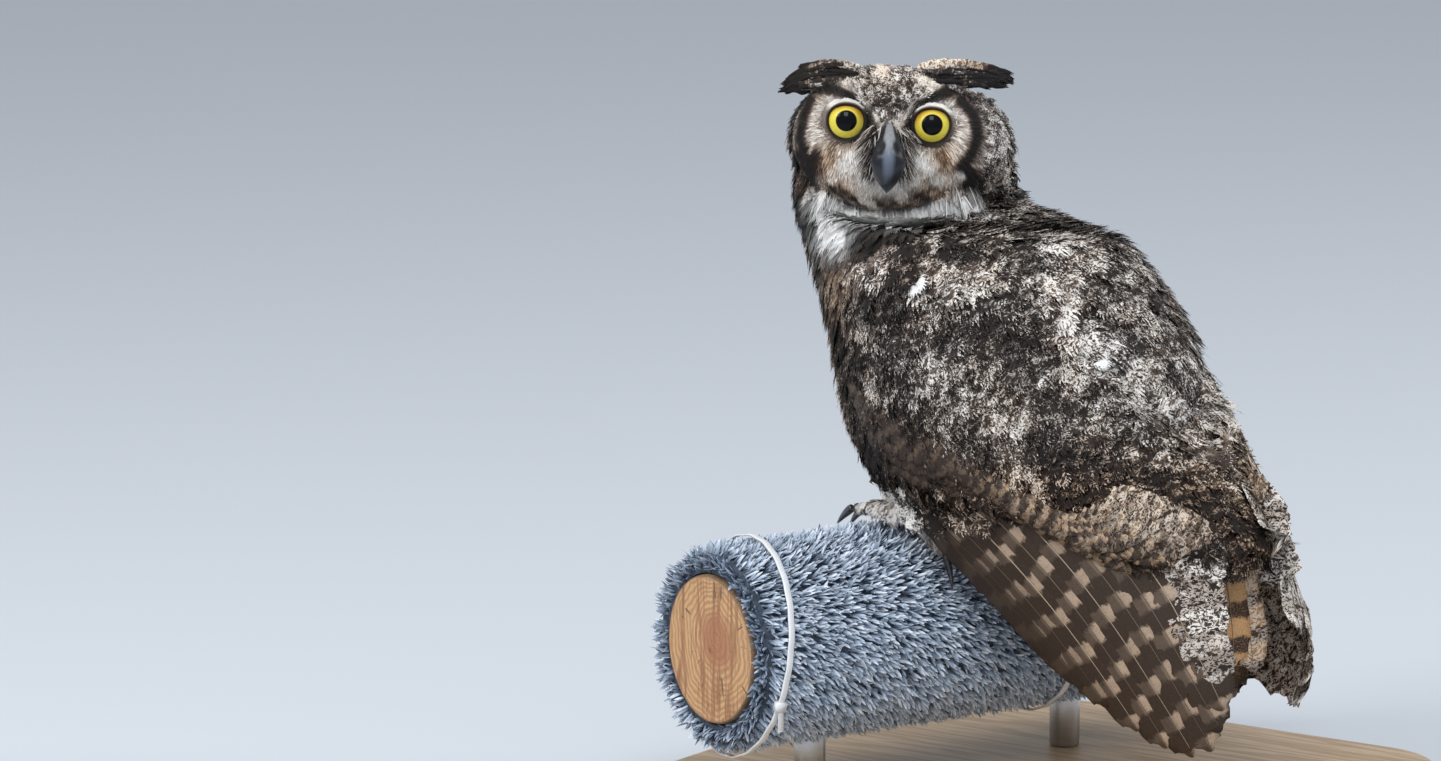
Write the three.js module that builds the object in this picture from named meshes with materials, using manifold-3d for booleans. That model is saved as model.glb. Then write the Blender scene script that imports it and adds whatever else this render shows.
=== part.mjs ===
// A great horned owl at life size, gripping a short length of turf-wrapped log on a display stand.
// Millimetres, +Z up. The owl faces -X with its head turned over its left shoulder, and its left
// side is towards -Y. The origin is the middle of the underside of the base.
import * as THREE from "three";
import { mergeVertices } from "three/addons/utils/BufferGeometryUtils.js";
import Module from "manifold-3d";

const wasm = await Module();
wasm.setup();

// ---- driving dimensions -------------------------------------------------------------------
const GAP = 0.3; // clearance between neighbouring pieces

const BASE_LENGTH = 462; // along X
const BASE_WIDTH = 484; // along Y
const BASE_THICKNESS = 18;
const BASE_CORNER = 60;
const BASE_EDGE = 2.5; // rounding of the base's edge
const ROD_RADIUS = 11;
const ROD_STATIONS = [-105, 120]; // along the log from its middle mark

const LOG_MARK = new THREE.Vector3(-70, 0, 127); // the point of the log's axis under the owl
const LOG_TURN = 69; // degrees of the log's axis from +X
const LOG_NEAR = -190; // ends of the log, measured from the mark
const LOG_FAR = 222;
const CORE_RADIUS = 53;
const TURF_RADIUS = 76;
const TURF_SETBACK = 3; // bare wood past the turf at each end
const TIE_STATIONS = [-162, 96];
const TIE_WIDTH = 5;
const TIE_THICKNESS = 1.6;
const TIE_LOCK = 9; // side of the tie's lock
const TIE_LOCK_HEIGHT = 6.3;
const PERCH_CLEARANCE = 5; // of the wing feathers over the turf

const HEAD_CENTRE = new THREE.Vector3(-110, 0, 467);
const HEAD_TURN = 35; // degrees: the face looks this far round from -Y towards +X
const HEAD_PITCH = 8; // degrees upwards
const HEAD_ROLL = 2.7; // degrees, the owl's left side lower
const FACE_HALF_WIDTH = 67;
const FACE_HALF_HEIGHT = 52;
const FACE_DEPTH = 51;
const EYE_SPACING = 60;
const EYE_HEIGHT = 11;
const EYE_RADIUS = 16;
const EYE_DEPTH = 30; // of the eyeball's centre in front of the head's centre

const EYE_HOLLOW = 7; // depth of the dish round each eye
const EYE_HOLLOW_SIZE = 17;
const BROW = { aside: 26, height: 31, rise: 4, size: 9 };
const DISC_RIM = { at: 0.9, rise: 3, size: 0.08 }; // as shares of the face's half width
const MUZZLE = { height: -4, rise: 5, size: 14 }; // the swelling that carries the bill
const HIND_HEAD_RADII = [78, 66, 55];
const HIND_HEAD_CENTRE = [11, 14, -5]; // in the head's frame
const LEFT_TUFT = { reach: 88, rise: 40 }; // where its tip stands in the head's frame
const RIGHT_TUFT = { reach: 79, rise: 29 };

const NECK_LEVEL = 425; // where the neck leaves the trunk
const COLLAR_LEVEL = 453; // where the neck meets the head, square to the face
const COLLAR_HALF_WIDTH = 80;
const COLLAR_HALF_DEPTH = 49;
const COLLAR_ASIDE = 13; // of its middle from the head's, to the viewer's right
const COLLAR_BEHIND = 8;
const NECK_TOP = 474;

const SHELL_FROM = 62; // the lowest and highest levels of the folded wings' shell
const SHELL_TO = 450;
const WING_THICKNESS = 11;
const FLIGHT_DEPTH = 4; // of the flight feathers under the wing's outer surface
const FLIGHT_THICKNESS = 4;
const RIGHT_WING_LIFT = 6.5; // degrees that the right wing's tip is carried above the left's
const LEFT_WING_OPENING = 8; // from the middle plane to the flight feathers' inner edge
const RIGHT_WING_OPENING = 22;
const WING_HINGE = new THREE.Vector2(-16, 382); // side view, what that lift turns about
const FLIGHT_FEATHERS = 17;
const FLIGHT_FEATHER_WIDTH = 25;

const TAIL_ROOT = new THREE.Vector3(134, 0, 262);
const TAIL_TIP = new THREE.Vector3(160, 0, 78);
const TAIL_THICKNESS = 4;
const TAIL_ARCH = 9; // rise of the tail's middle over its edges
const TAIL_FEATHERS = 9;
const TAIL_FEATHER_WIDTH = 24;
const TAIL_SPREAD = 34; // half the width over the outer feathers' middles at their tips

const FOOT_STATIONS = { left: -38, right: 40 }; // along the log
const FOOT_SETBACK = -14; // degrees that the ankle stands behind the log's top
const TOE_RADIUS = 8.6; // height of a toe's middle over the turf
const TALON_CURVE = 17; // degrees that each talon reaches on round the log

const RING_POINTS = 24;
const ROOM = 400; // half side of the boxes that cut pieces at a level

// Cross-sections of the bird at level z: middle x, half depth, half width, squareness.
const OUTER_LEVELS = [
  [62, 157, 58, 54, 2.6],
  [85, 148, 72, 61, 2.6],
  [115, 129, 101, 69, 2.6],
  [150, 104, 126, 77, 2.5],
  [190, 68, 145, 87, 2.3],
  [228, 44, 155, 97, 2.1],
  [262, 25, 153, 104, 2],
  [300, 9, 147, 106, 2],
  [340, -7, 139, 103, 2],
  [378, -27, 133, 95, 2],
  [408, -48, 128, 81, 2],
  [430, -70, 115, 62, 2],
  [452, -94, 90, 48, 2],
];
// The trunk follows those down to the flanks, then draws in under the wings to the belly.
const TRUNK_LEVELS = [
  [208, -2, 12, 12, 2],
  [213, -1, 42, 38, 2],
  [223, 0, 72, 59, 2],
  [238, 2, 94, 74, 2],
  [256, 4, 112, 86, 2],
  [280, 4, 127, 94, 2],
  [310, 0, 138, 101, 2],
  [340, -7, 139, 103, 2],
  [378, -27, 133, 95, 2],
  [408, -48, 128, 81, 2],
  [430, -70, 115, 62, 2],
  [452, -94, 90, 48, 2],
];

// ---- shape helpers --------------------------------------------------------------------------
const vec = (x, y, z) => new THREE.Vector3(x, y, z);
const flat = (x, y) => new THREE.Vector2(x, y);
const radians = THREE.MathUtils.degToRad;

function solidOf(geometry) {
  const bare = geometry.clone();
  bare.deleteAttribute("normal");
  bare.deleteAttribute("uv");
  const merged = mergeVertices(bare, 1e-4);
  return new wasm.Manifold(
    new wasm.Mesh({
      numProp: 3,
      vertProperties: new Float32Array(merged.attributes.position.array),
      triVerts: new Uint32Array(merged.index.array),
    }),
  );
}

function geometryOf(solid) {
  const mesh = solid.getMesh();
  const positions = new Float32Array(mesh.numVert * 3);
  for (let i = 0; i < mesh.numVert; i++) {
    const start = i * mesh.numProp;
    positions.set(mesh.vertProperties.subarray(start, start + 3), i * 3);
  }
  const geometry = new THREE.BufferGeometry();
  geometry.setAttribute("position", new THREE.BufferAttribute(positions, 3));
  geometry.setIndex(new THREE.BufferAttribute(mesh.triVerts, 1));
  geometry.computeVertexNormals();
  return geometry;
}

// The largest separate body of a solid, without the slivers that a cut can leave.
function mainBody(solid) {
  return solid.decompose().reduce((best, body) => (body.volume() > best.volume() ? body : best));
}

const joinAll = (solids) => solids.reduce((whole, piece) => whole.add(piece));

// A closed skin over rings of points, one ring after another, with a flat fan over each end.
function loft(rings) {
  const count = rings[0].length;
  const points = rings.flat();
  const middle = (ring) => ring.reduce((sum, p) => sum.add(p), vec(0, 0, 0)).divideScalar(count);
  const first = points.push(middle(rings[0])) - 1;
  const last = points.push(middle(rings[rings.length - 1])) - 1;
  const faces = [];
  for (let r = 0; r + 1 < rings.length; r++) {
    for (let i = 0; i < count; i++) {
      const here = r * count + i;
      const beside = r * count + ((i + 1) % count);
      faces.push(here, beside, beside + count, here, beside + count, here + count);
    }
  }
  const end = (rings.length - 1) * count;
  for (let i = 0; i < count; i++) {
    const next = (i + 1) % count;
    faces.push(first, next, i, last, end + i, end + next);
  }
  const geometry = new THREE.BufferGeometry().setFromPoints(points);
  geometry.setIndex(faces);
  const solid = solidOf(geometry);
  if (solid.volume() > 0) return solid;
  for (let f = 0; f < faces.length; f += 3) [faces[f], faces[f + 1]] = [faces[f + 1], faces[f]];
  geometry.setIndex(faces);
  return solidOf(geometry);
}

// A row of numbers at any level of a table, on a smooth curve through the table's rows.
function rowAt(table, level) {
  let k = table.findIndex((row) => row[0] >= level);
  k = Math.min(Math.max(k, 1), table.length - 1);
  const [low, high] = [table[k - 1], table[k]];
  const [before, after] = [table[Math.max(k - 2, 0)], table[Math.min(k + 1, table.length - 1)]];
  const span = high[0] - low[0];
  const t = (level - low[0]) / span;
  const ease = t * t * (3 - 2 * t);
  return low.slice(1).map((value, i) => {
    const c = i + 1;
    const slopeLow = ((high[c] - before[c]) / (high[0] - before[0])) * span;
    const slopeHigh = ((after[c] - low[c]) / (after[0] - low[0])) * span;
    const bend = t * (1 - t) * ((1 - t) * slopeLow - t * slopeHigh);
    return value + (high[c] - value) * ease + bend;
  });
}

// One value of make for each of count equal angles of a turn.
function roundTurn(count, make) {
  return Array.from({ length: count }, (_, i) => make((2 * Math.PI * i) / count));
}

const signedPower = (value, power) => Math.sign(value) * Math.abs(value) ** power;

function levelRing(table, level, inset) {
  const [middle, depth, width, squareness] = rowAt(table, level);
  const smallest = 2;
  return roundTurn(RING_POINTS, (angle) => {
    const x = signedPower(Math.cos(angle), 2 / squareness) * Math.max(depth - inset, smallest);
    const y = signedPower(Math.sin(angle), 2 / squareness) * Math.max(width - inset, smallest);
    return vec(middle + x, y, level);
  });
}

function levelLoft(table, inset, from, to, steps) {
  const rings = [];
  for (let i = 0; i <= steps; i++) {
    rings.push(levelRing(table, from + ((to - from) * i) / steps, inset));
  }
  return loft(rings);
}

// All the room between two levels.
function slab(bottom, top) {
  const geometry = new THREE.BoxGeometry(2 * ROOM, 2 * ROOM, top - bottom);
  geometry.translate(0, 0, (bottom + top) / 2);
  return solidOf(geometry);
}

function ball(radii, centre, place, segments, rings) {
  const geometry = new THREE.SphereGeometry(1, segments, rings);
  geometry.scale(...radii);
  geometry.translate(...centre);
  if (place) geometry.applyMatrix4(place);
  return solidOf(geometry);
}

// An outline of the side view, x and z, carried across the bird from y0 to y1.
function sidePrism(outline, y0, y1) {
  const points = THREE.ShapeUtils.isClockWise(outline) ? [...outline].reverse() : outline;
  const shape = new THREE.Shape(points);
  const geometry = new THREE.ExtrudeGeometry(shape, { depth: y1 - y0, bevelEnabled: false });
  geometry.rotateX(Math.PI / 2);
  geometry.translate(0, y1, 0);
  return solidOf(geometry);
}

function grownOutline(outline, distance) {
  const side = THREE.ShapeUtils.isClockWise(outline) ? -1 : 1;
  return outline.map((point, i) => {
    const before = outline[(i + outline.length - 1) % outline.length];
    const after = outline[(i + 1) % outline.length];
    const into = flat(point.x - before.x, point.y - before.y).normalize();
    const out = flat(after.x - point.x, after.y - point.y).normalize();
    const normal = flat(into.y + out.y, -into.x - out.x).normalize();
    return flat(point.x + side * distance * normal.x, point.y + side * distance * normal.y);
  });
}

// A long feather's outline: straight sides and a rounded tip.
function featherOutline(root, tip, width) {
  const along = flat(tip.x - root.x, tip.y - root.y);
  const length = along.length();
  along.divideScalar(length);
  const across = flat(-along.y, along.x);
  const half = width / 2;
  const rootHalf = half * 0.6;
  const fullWidthAt = length * 0.4;
  const at = (l, w) => root.clone().addScaledVector(along, l).addScaledVector(across, w);
  const points = [at(0, -rootHalf), at(fullWidthAt, -half)];
  const tipSteps = 6;
  for (let i = 0; i <= tipSteps; i++) {
    const angle = -Math.PI / 2 + (Math.PI * i) / tipSteps;
    points.push(at(length - width + width * Math.cos(angle), half * Math.sin(angle)));
  }
  points.push(at(fullWidthAt, half), at(0, rootHalf));
  return points;
}

// A horn or limb: oval sections along a curve, given by [share of the way, half width, half height].
function limb(curve, sections, widthAxis, grow = 0, points = 12) {
  const rings = sections.map(([share, width, height]) => {
    const middle = curve.getPoint(share);
    const along = curve.getTangent(share);
    const side = widthAxis.clone().addScaledVector(along, -widthAxis.dot(along)).normalize();
    const up = along.clone().cross(side);
    return roundTurn(points, (angle) =>
      middle
        .clone()
        .addScaledVector(side, Math.cos(angle) * (width + grow))
        .addScaledVector(up, Math.sin(angle) * (height + grow)),
    );
  });
  return loft(rings);
}

const bezier = (a, b, c, d) => new THREE.CubicBezierCurve3(a, b, c, d);

// ---- the nodes --------------------------------------------------------------------------------
const owl = new THREE.Group();

function addNode(name, solid, color, roughness, metalness = 0) {
  const material = new THREE.MeshStandardMaterial({ color, roughness, metalness });
  const mesh = new THREE.Mesh(geometryOf(solid), material);
  mesh.name = name;
  owl.add(mesh);
}

const PLUMAGE = 0x8c7c6c;
const PALE_PLUMAGE = 0xc9bba6;
const FLIGHT = 0x5f4936;
const HORN = 0x2c2f36;
const IRIS = 0xe3cf45;
const TURF = 0x7f93ab;
const PINE = 0xc08a52;
const OAK = 0xb99468;
const STEEL = 0x9a9da1;
const NYLON = 0xe8ecef;

// ---- display stand and perch ------------------------------------------------------------------
const logWay = vec(Math.cos(radians(LOG_TURN)), Math.sin(radians(LOG_TURN)), 0);
const logSide = vec(-logWay.y, logWay.x, 0); // across the log, towards the owl's front
const onLog = (station) => LOG_MARK.clone().addScaledVector(logWay, station);

function logCylinder(radius, from, to, segments) {
  const geometry = new THREE.CylinderGeometry(radius, radius, to - from, segments);
  geometry.rotateZ(radians(LOG_TURN - 90));
  const middle = onLog((from + to) / 2);
  geometry.translate(middle.x, middle.y, middle.z);
  return solidOf(geometry);
}

// A many-sided cylinder that clears a round one of the given radius.
function roomRoundLog(radius, from, to) {
  const segments = 24;
  return logCylinder(radius / Math.cos(Math.PI / segments), from, to, segments);
}

function standBase() {
  const [x, y, r] = [BASE_LENGTH / 2 - BASE_EDGE, BASE_WIDTH / 2 - BASE_EDGE, BASE_CORNER];
  const shape = new THREE.Shape();
  shape.moveTo(r - x, -y);
  shape.lineTo(x - r, -y);
  shape.absarc(x - r, r - y, r, -Math.PI / 2, 0);
  shape.lineTo(x, y - r);
  shape.absarc(x - r, y - r, r, 0, Math.PI / 2);
  shape.lineTo(r - x, y);
  shape.absarc(r - x, y - r, r, Math.PI / 2, Math.PI);
  shape.lineTo(-x, r - y);
  shape.absarc(r - x, r - y, r, Math.PI, 1.5 * Math.PI);
  const geometry = new THREE.ExtrudeGeometry(shape, {
    depth: BASE_THICKNESS - 2 * BASE_EDGE,
    bevelThickness: BASE_EDGE,
    bevelSize: BASE_EDGE,
    bevelSegments: 1,
    curveSegments: 4,
  });
  geometry.translate(0, 0, BASE_EDGE);
  return solidOf(geometry);
}

function rod(station, radius, top) {
  const foot = onLog(station);
  const bottom = BASE_THICKNESS + GAP;
  const geometry = new THREE.CylinderGeometry(radius, radius, top - bottom, 16);
  geometry.rotateX(Math.PI / 2);
  geometry.translate(foot.x, foot.y, (top + bottom) / 2);
  return solidOf(geometry);
}

addNode("stand_base", standBase(), OAK, 0.6);
const rodTop = LOG_MARK.z - CORE_RADIUS - GAP;
ROD_STATIONS.forEach((station, i) => {
  addNode(`stand_rod_${i + 1}`, rod(station, ROD_RADIUS, rodTop), STEEL, 0.35, 1);
});

const LOG_SIDES = 32;
function turfSleeve() {
  const [near, far] = [LOG_NEAR + TURF_SETBACK, LOG_FAR - TURF_SETBACK];
  const sleeve = logCylinder(TURF_RADIUS, near, far, LOG_SIDES);
  const bore = logCylinder(CORE_RADIUS + GAP, LOG_NEAR, LOG_FAR, LOG_SIDES);
  const rodHoles = ROD_STATIONS.map((station) => rod(station, ROD_RADIUS + GAP, LOG_MARK.z));
  return sleeve.subtract(bore).subtract(joinAll(rodHoles));
}

addNode("perch_log", logCylinder(CORE_RADIUS, LOG_NEAR, LOG_FAR, LOG_SIDES), PINE, 0.7);
addNode("perch_turf", turfSleeve(), TURF, 0.8);

function cableTie(station) {
  const half = TIE_WIDTH / 2;
  const band = roomRoundLog(TURF_RADIUS + GAP + TIE_THICKNESS, station - half, station + half);
  const lock = new THREE.BoxGeometry(TIE_LOCK, TIE_LOCK, TIE_LOCK_HEIGHT);
  lock.translate(-TURF_RADIUS - TIE_LOCK / 3, 0, 0);
  lock.rotateZ(radians(LOG_TURN + 90));
  lock.translate(...onLog(station).toArray());
  const bore = roomRoundLog(TURF_RADIUS + GAP, station - TIE_LOCK, station + TIE_LOCK);
  return mainBody(band.add(solidOf(lock)).subtract(bore));
}

TIE_STATIONS.forEach((station, i) => addNode(`perch_tie_${i + 1}`, cableTie(station), NYLON, 0.4));

// ---- head ---------------------------------------------------------------------------------------
// The head's own frame: x to the viewer's right of the face, -y out of the face, z up.
const headPlace = new THREE.Matrix4()
  .makeTranslation(HEAD_CENTRE.x, HEAD_CENTRE.y, HEAD_CENTRE.z)
  .multiply(new THREE.Matrix4().makeRotationZ(radians(HEAD_TURN)))
  .multiply(new THREE.Matrix4().makeRotationX(radians(-HEAD_PITCH)))
  .multiply(new THREE.Matrix4().makeRotationY(radians(HEAD_ROLL)));
const inHead = (x, y, z) => vec(x, y, z).applyMatrix4(headPlace);
const headAcross = vec(1, 0, 0).transformDirection(headPlace);
const headBack = vec(0, 1, 0).transformDirection(headPlace);

const bump = (distance, size) => Math.exp(-((distance / size) ** 2));

// How far the front of the face stands out of a plain dome, at x and z of the head's frame.
function faceRelief(x, z, edgeShare, frontShare) {
  const aside = Math.abs(x);
  const hollow = EYE_HOLLOW * bump(Math.hypot(aside - EYE_SPACING / 2, z - EYE_HEIGHT), EYE_HOLLOW_SIZE);
  const brow = BROW.rise * bump(Math.hypot((aside - BROW.aside) / 2, z - BROW.height), BROW.size);
  const rim = DISC_RIM.rise * bump(edgeShare - DISC_RIM.at, DISC_RIM.size);
  const muzzle = MUZZLE.rise * bump(Math.hypot(x, z - MUZZLE.height), MUZZLE.size);
  return (brow + rim - hollow) * Math.sqrt(frontShare) + muzzle;
}

// The face: a broad flattened dome with a hollow round each eye, a brow over it and a raised rim.
function faceSolid(grow) {
  const geometry = new THREE.SphereGeometry(1, 26, 14);
  geometry.rotateX(Math.PI / 2);
  const points = geometry.attributes.position;
  const flatness = 0.62; // under 1 squares the dome's section
  for (let i = 0; i < points.count; i++) {
    const [sx, sy, sz] = [points.getX(i), points.getY(i), points.getZ(i)];
    const x = sx * (FACE_HALF_WIDTH + grow);
    const z = sz * (FACE_HALF_HEIGHT + grow);
    const depth = FACE_DEPTH + grow;
    const front = -depth * Math.abs(sy) ** flatness - faceRelief(x, z, Math.hypot(sx, sz), Math.abs(sy));
    points.setXYZ(i, x, sy < 0 ? front : sy * depth, z);
  }
  geometry.applyMatrix4(headPlace);
  return solidOf(geometry);
}

// The full back of the head, which the nape's feathers carry over towards the left shoulder.
function hindHeadSolid(grow) {
  const radii = HIND_HEAD_RADII.map((radius) => radius + grow);
  return ball(radii, HIND_HEAD_CENTRE, headPlace, 18, 10);
}

function eyeball(side, grow) {
  const centre = [(side * EYE_SPACING) / 2, -EYE_DEPTH, EYE_HEIGHT];
  return ball(Array(3).fill(EYE_RADIUS + grow), centre, headPlace, 14, 9);
}

function upperBill(grow) {
  const curve = bezier(inHead(0, -42, 5), inHead(0, -66, 2), inHead(0, -76, -20), inHead(0, -63, -38));
  const sections = [
    [0, 6, 6],
    [0.2, 7.5, 8],
    [0.4, 10, 9.5],
    [0.6, 11.5, 10],
    [0.78, 8.5, 7.5],
    [0.9, 4.5, 4.5],
    [1, 0.8, 0.8],
  ];
  return limb(curve, sections, headAcross, grow, 12);
}

function lowerBill(grow) {
  const [root, tip] = [inHead(0, -38, -14), inHead(0, -59, -31)];
  const curve = bezier(root, inHead(0, -48, -16), inHead(0, -56, -22), tip);
  const sections = [
    [0, 7, 4],
    [0.4, 7.5, 4.5],
    [0.75, 5, 3.5],
    [1, 1, 1],
  ];
  return limb(curve, sections, headAcross, grow, 8);
}

// side is +1 for the owl's left, which is on the viewer's right.
function earTuft(side, { reach, rise }) {
  const curve = bezier(
    inHead(side * 26, -30, 33),
    inHead(side * 46, -26, rise + 14),
    inHead(side * (reach - 18), -18, rise + 15),
    inHead(side * reach, -10, rise),
  );
  const sections = [
    [0, 5, 8],
    [0.3, 7, 11.5],
    [0.6, 6.5, 11.5],
    [0.85, 4, 7],
    [1, 0.8, 1.2],
  ];
  return mainBody(limb(curve, sections, headBack, 0, 10).subtract(headKeepOut));
}

const headWhole = (grow) => faceSolid(grow).add(hindHeadSolid(grow));
const headKeepOut = headWhole(GAP);
const headParts = [upperBill(GAP), lowerBill(GAP), eyeball(1, GAP), eyeball(-1, GAP)];
addNode("head", mainBody(headWhole(0).subtract(joinAll(headParts))), PLUMAGE, 0.9);
addNode("eye_left", eyeball(1, 0), IRIS, 0.1);
addNode("eye_right", eyeball(-1, 0), IRIS, 0.1);
addNode("bill_upper", upperBill(0), HORN, 0.35);
addNode("bill_lower", mainBody(lowerBill(0).subtract(upperBill(GAP))), HORN, 0.4);
addNode("ear_tuft_left", earTuft(1, LEFT_TUFT), HORN, 0.9);
addNode("ear_tuft_right", earTuft(-1, RIGHT_TUFT), HORN, 0.9);

// ---- wings --------------------------------------------------------------------------------------
// Outlines of the folded left wing in the side view, from its wrist round over the shoulder.
const COVERT_TOP = [
  flat(-121, 322),
  flat(-112, 346),
  flat(-86, 364),
  flat(-50, 376),
  flat(-16, 382),
  flat(34, 374),
  flat(82, 355),
  flat(125, 311),
  flat(160, 277),
  flat(199, 238),
  flat(216, 206),
];
const COVERT_BOTTOM = [
  flat(172, 200),
  flat(145, 197),
  flat(111, 210),
  flat(62, 229),
  flat(10, 226),
  flat(-50, 221),
  flat(-84, 240),
  flat(-110, 264),
  flat(-119, 296),
];
const covertOutline = [...COVERT_TOP, ...COVERT_BOTTOM];

// The flight feathers' roots lie under the coverts, and their tips run round the wing's point.
const featherRoots = new THREE.SplineCurve([
  flat(-62, 236),
  flat(-20, 250),
  flat(60, 246),
  flat(130, 232),
  flat(178, 226),
]);
const featherTips = new THREE.SplineCurve([
  flat(78, 116),
  flat(108, 97),
  flat(150, 75),
  flat(184, 70),
  flat(197, 94),
  flat(197, 128),
  flat(180, 180),
]);

const turned = (point, angle) => point.clone().rotateAround(WING_HINGE, radians(angle));

// The shell of the folded wings between two depths under the bird's outer surface.
function shellBetween(near, far) {
  const steps = 14;
  const over = 2; // the inner surface runs past both ends of the outer one
  const outer = levelLoft(OUTER_LEVELS, near, SHELL_FROM, SHELL_TO, steps);
  return outer.subtract(levelLoft(OUTER_LEVELS, far, SHELL_FROM - over, SHELL_TO + over, steps));
}

const covertShell = shellBetween(0, WING_THICKNESS);
const covertRoom = shellBetween(-2, WING_THICKNESS + GAP);
const flightShell = shellBetween(FLIGHT_DEPTH, FLIGHT_DEPTH + FLIGHT_THICKNESS);

// Each wing fills its side of the bird, from just off the middle plane outwards.
const sideRange = (side, off) => (side < 0 ? [-ROOM, -off] : [off, ROOM]);

function wingCoverts(side) {
  return mainBody(covertShell.intersect(sidePrism(covertOutline, ...sideRange(side, 1))));
}

function wingKeepOut(side) {
  return sidePrism(grownOutline(covertOutline, GAP), ...sideRange(side, 1 - GAP));
}

const perchRoom = roomRoundLog(TURF_RADIUS + PERCH_CLEARANCE, LOG_NEAR, LOG_FAR);

function wingFlight(side, lift, opening) {
  const [y0, y1] = sideRange(side, opening);
  const blades = Array.from({ length: FLIGHT_FEATHERS }, (_, i) => {
    const share = i / (FLIGHT_FEATHERS - 1);
    const root = turned(featherRoots.getPoint(share), lift);
    const tip = turned(featherTips.getPoint(share), lift);
    return sidePrism(featherOutline(root, tip, FLIGHT_FEATHER_WIDTH), y0, y1);
  });
  const blade = joinAll(blades).intersect(flightShell).subtract(wingKeepOut(side));
  return mainBody(blade.subtract(perchRoom));
}

const WINGS = [
  ["left", -1, 0, LEFT_WING_OPENING],
  ["right", 1, RIGHT_WING_LIFT, RIGHT_WING_OPENING],
];
for (const [name, side, lift, opening] of WINGS) {
  addNode(`wing_${name}`, wingCoverts(side), PLUMAGE, 0.9);
  addNode(`wing_${name}_flight`, wingFlight(side, lift, opening), FLIGHT, 0.8);
}
const wingsKeepOut = wingKeepOut(-1).add(wingKeepOut(1)).intersect(covertRoom);

// ---- trunk and neck -----------------------------------------------------------------------------
function rumpSolid(grow) {
  const curve = bezier(vec(60, 0, 300), vec(95, 0, 270), vec(128, 0, 235), vec(143, 0, 186));
  const sections = [
    [0, 40, 30],
    [0.35, 54, 34],
    [0.7, 46, 22],
    [0.9, 40, 13],
    [1, 36, 6],
  ];
  return limb(curve, sections, vec(0, 1, 0), grow, 16);
}

function trunkWhole(grow) {
  const belly = TRUNK_LEVELS[0][0] - grow;
  return levelLoft(TRUNK_LEVELS, -grow, belly, SHELL_TO, 12).add(rumpSolid(grow));
}

const trunk = trunkWhole(0).subtract(wingsKeepOut).intersect(slab(0, NECK_LEVEL));
addNode("trunk", mainBody(trunk.subtract(headKeepOut)), PLUMAGE, 0.95);

// A ring of the collar: an oval that is square to the face, at a level and a share of its size.
function collarRing(level, size) {
  const across = headAcross.clone().setZ(0).normalize();
  const behind = vec(-across.y, across.x, 0);
  return roundTurn(RING_POINTS, (angle) => {
    const headAngle = angle - radians(HEAD_TURN);
    return HEAD_CENTRE.clone()
      .addScaledVector(across, COLLAR_ASIDE + size * COLLAR_HALF_WIDTH * Math.cos(headAngle))
      .addScaledVector(behind, COLLAR_BEHIND + size * COLLAR_HALF_DEPTH * Math.sin(headAngle))
      .setZ(level);
  });
}

// The neck turns from the trunk's own section to the collar.
function neckSolid() {
  const steps = 3;
  const foot = NECK_LEVEL + GAP;
  const rings = Array.from({ length: steps + 1 }, (_, k) => {
    const share = k / steps;
    const level = foot + (COLLAR_LEVEL - foot) * share;
    const goal = collarRing(level, 1);
    return levelRing(TRUNK_LEVELS, level, 0).map((p, i) => p.lerp(goal[i], share ** 0.8));
  });
  return loft([...rings, collarRing(NECK_TOP, 0.85)]);
}

addNode("neck", mainBody(neckSolid().subtract(headKeepOut)), PALE_PLUMAGE, 0.95);

// ---- tail -----------------------------------------------------------------------------------------
// The tail's own frame: x across, y down its length, z out of its upper side.
const tailWay = TAIL_TIP.clone().sub(TAIL_ROOT);
const tailLength = tailWay.length();
tailWay.normalize();
const tailPlace = new THREE.Matrix4()
  .makeBasis(vec(0, 1, 0), tailWay, vec(0, 1, 0).cross(tailWay))
  .setPosition(TAIL_ROOT);

// An arched sheet, a little longer and wider than the tail.
function tailSheet() {
  const half = TAIL_SPREAD + TAIL_FEATHER_WIDTH;
  const acrossSteps = 14;
  const lengthSteps = 3;
  const over = 5;
  const edge = (y, lift) =>
    Array.from({ length: acrossSteps + 1 }, (_, i) => {
      const share = (2 * i) / acrossSteps - 1;
      return vec(share * half, y, lift + TAIL_ARCH * (1 - 2 * share * share));
    });
  const rings = Array.from({ length: lengthSteps + 1 }, (_, i) => {
    const y = -over + ((tailLength + 2 * over) * i) / lengthSteps;
    return [...edge(y, TAIL_THICKNESS / 2), ...edge(y, -TAIL_THICKNESS / 2).reverse()];
  });
  return loft(rings);
}

function tailSolid() {
  const depth = 4 * TAIL_ARCH;
  const blades = Array.from({ length: TAIL_FEATHERS }, (_, i) => {
    const spread = (2 * i) / (TAIL_FEATHERS - 1) - 1;
    const root = flat((TAIL_SPREAD / 2) * spread, 0);
    const tip = flat(TAIL_SPREAD * spread, tailLength - 16 * spread * spread);
    const shape = new THREE.Shape(featherOutline(root, tip, TAIL_FEATHER_WIDTH));
    const geometry = new THREE.ExtrudeGeometry(shape, { depth: 2 * depth, bevelEnabled: false });
    geometry.translate(0, 0, -depth);
    return solidOf(geometry);
  });
  const whole = geometryOf(tailSheet().intersect(joinAll(blades)));
  whole.applyMatrix4(tailPlace);
  return solidOf(whole);
}

addNode("tail", mainBody(tailSolid().subtract(trunkWhole(GAP))), FLIGHT, 0.8);

// ---- legs and feet --------------------------------------------------------------------------------
const TOE_PATH_RADIUS = TURF_RADIUS + GAP + TOE_RADIUS;
// Each toe: how far it spreads along the log, and the degrees round the log where it starts and ends.
const TOES = [
  { spread: -17, start: -12, end: 13 },
  { spread: -2, start: -12, end: 18 },
  { spread: 14, start: -12, end: 14 },
  { spread: 6, start: -18, end: -45 },
];

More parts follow.
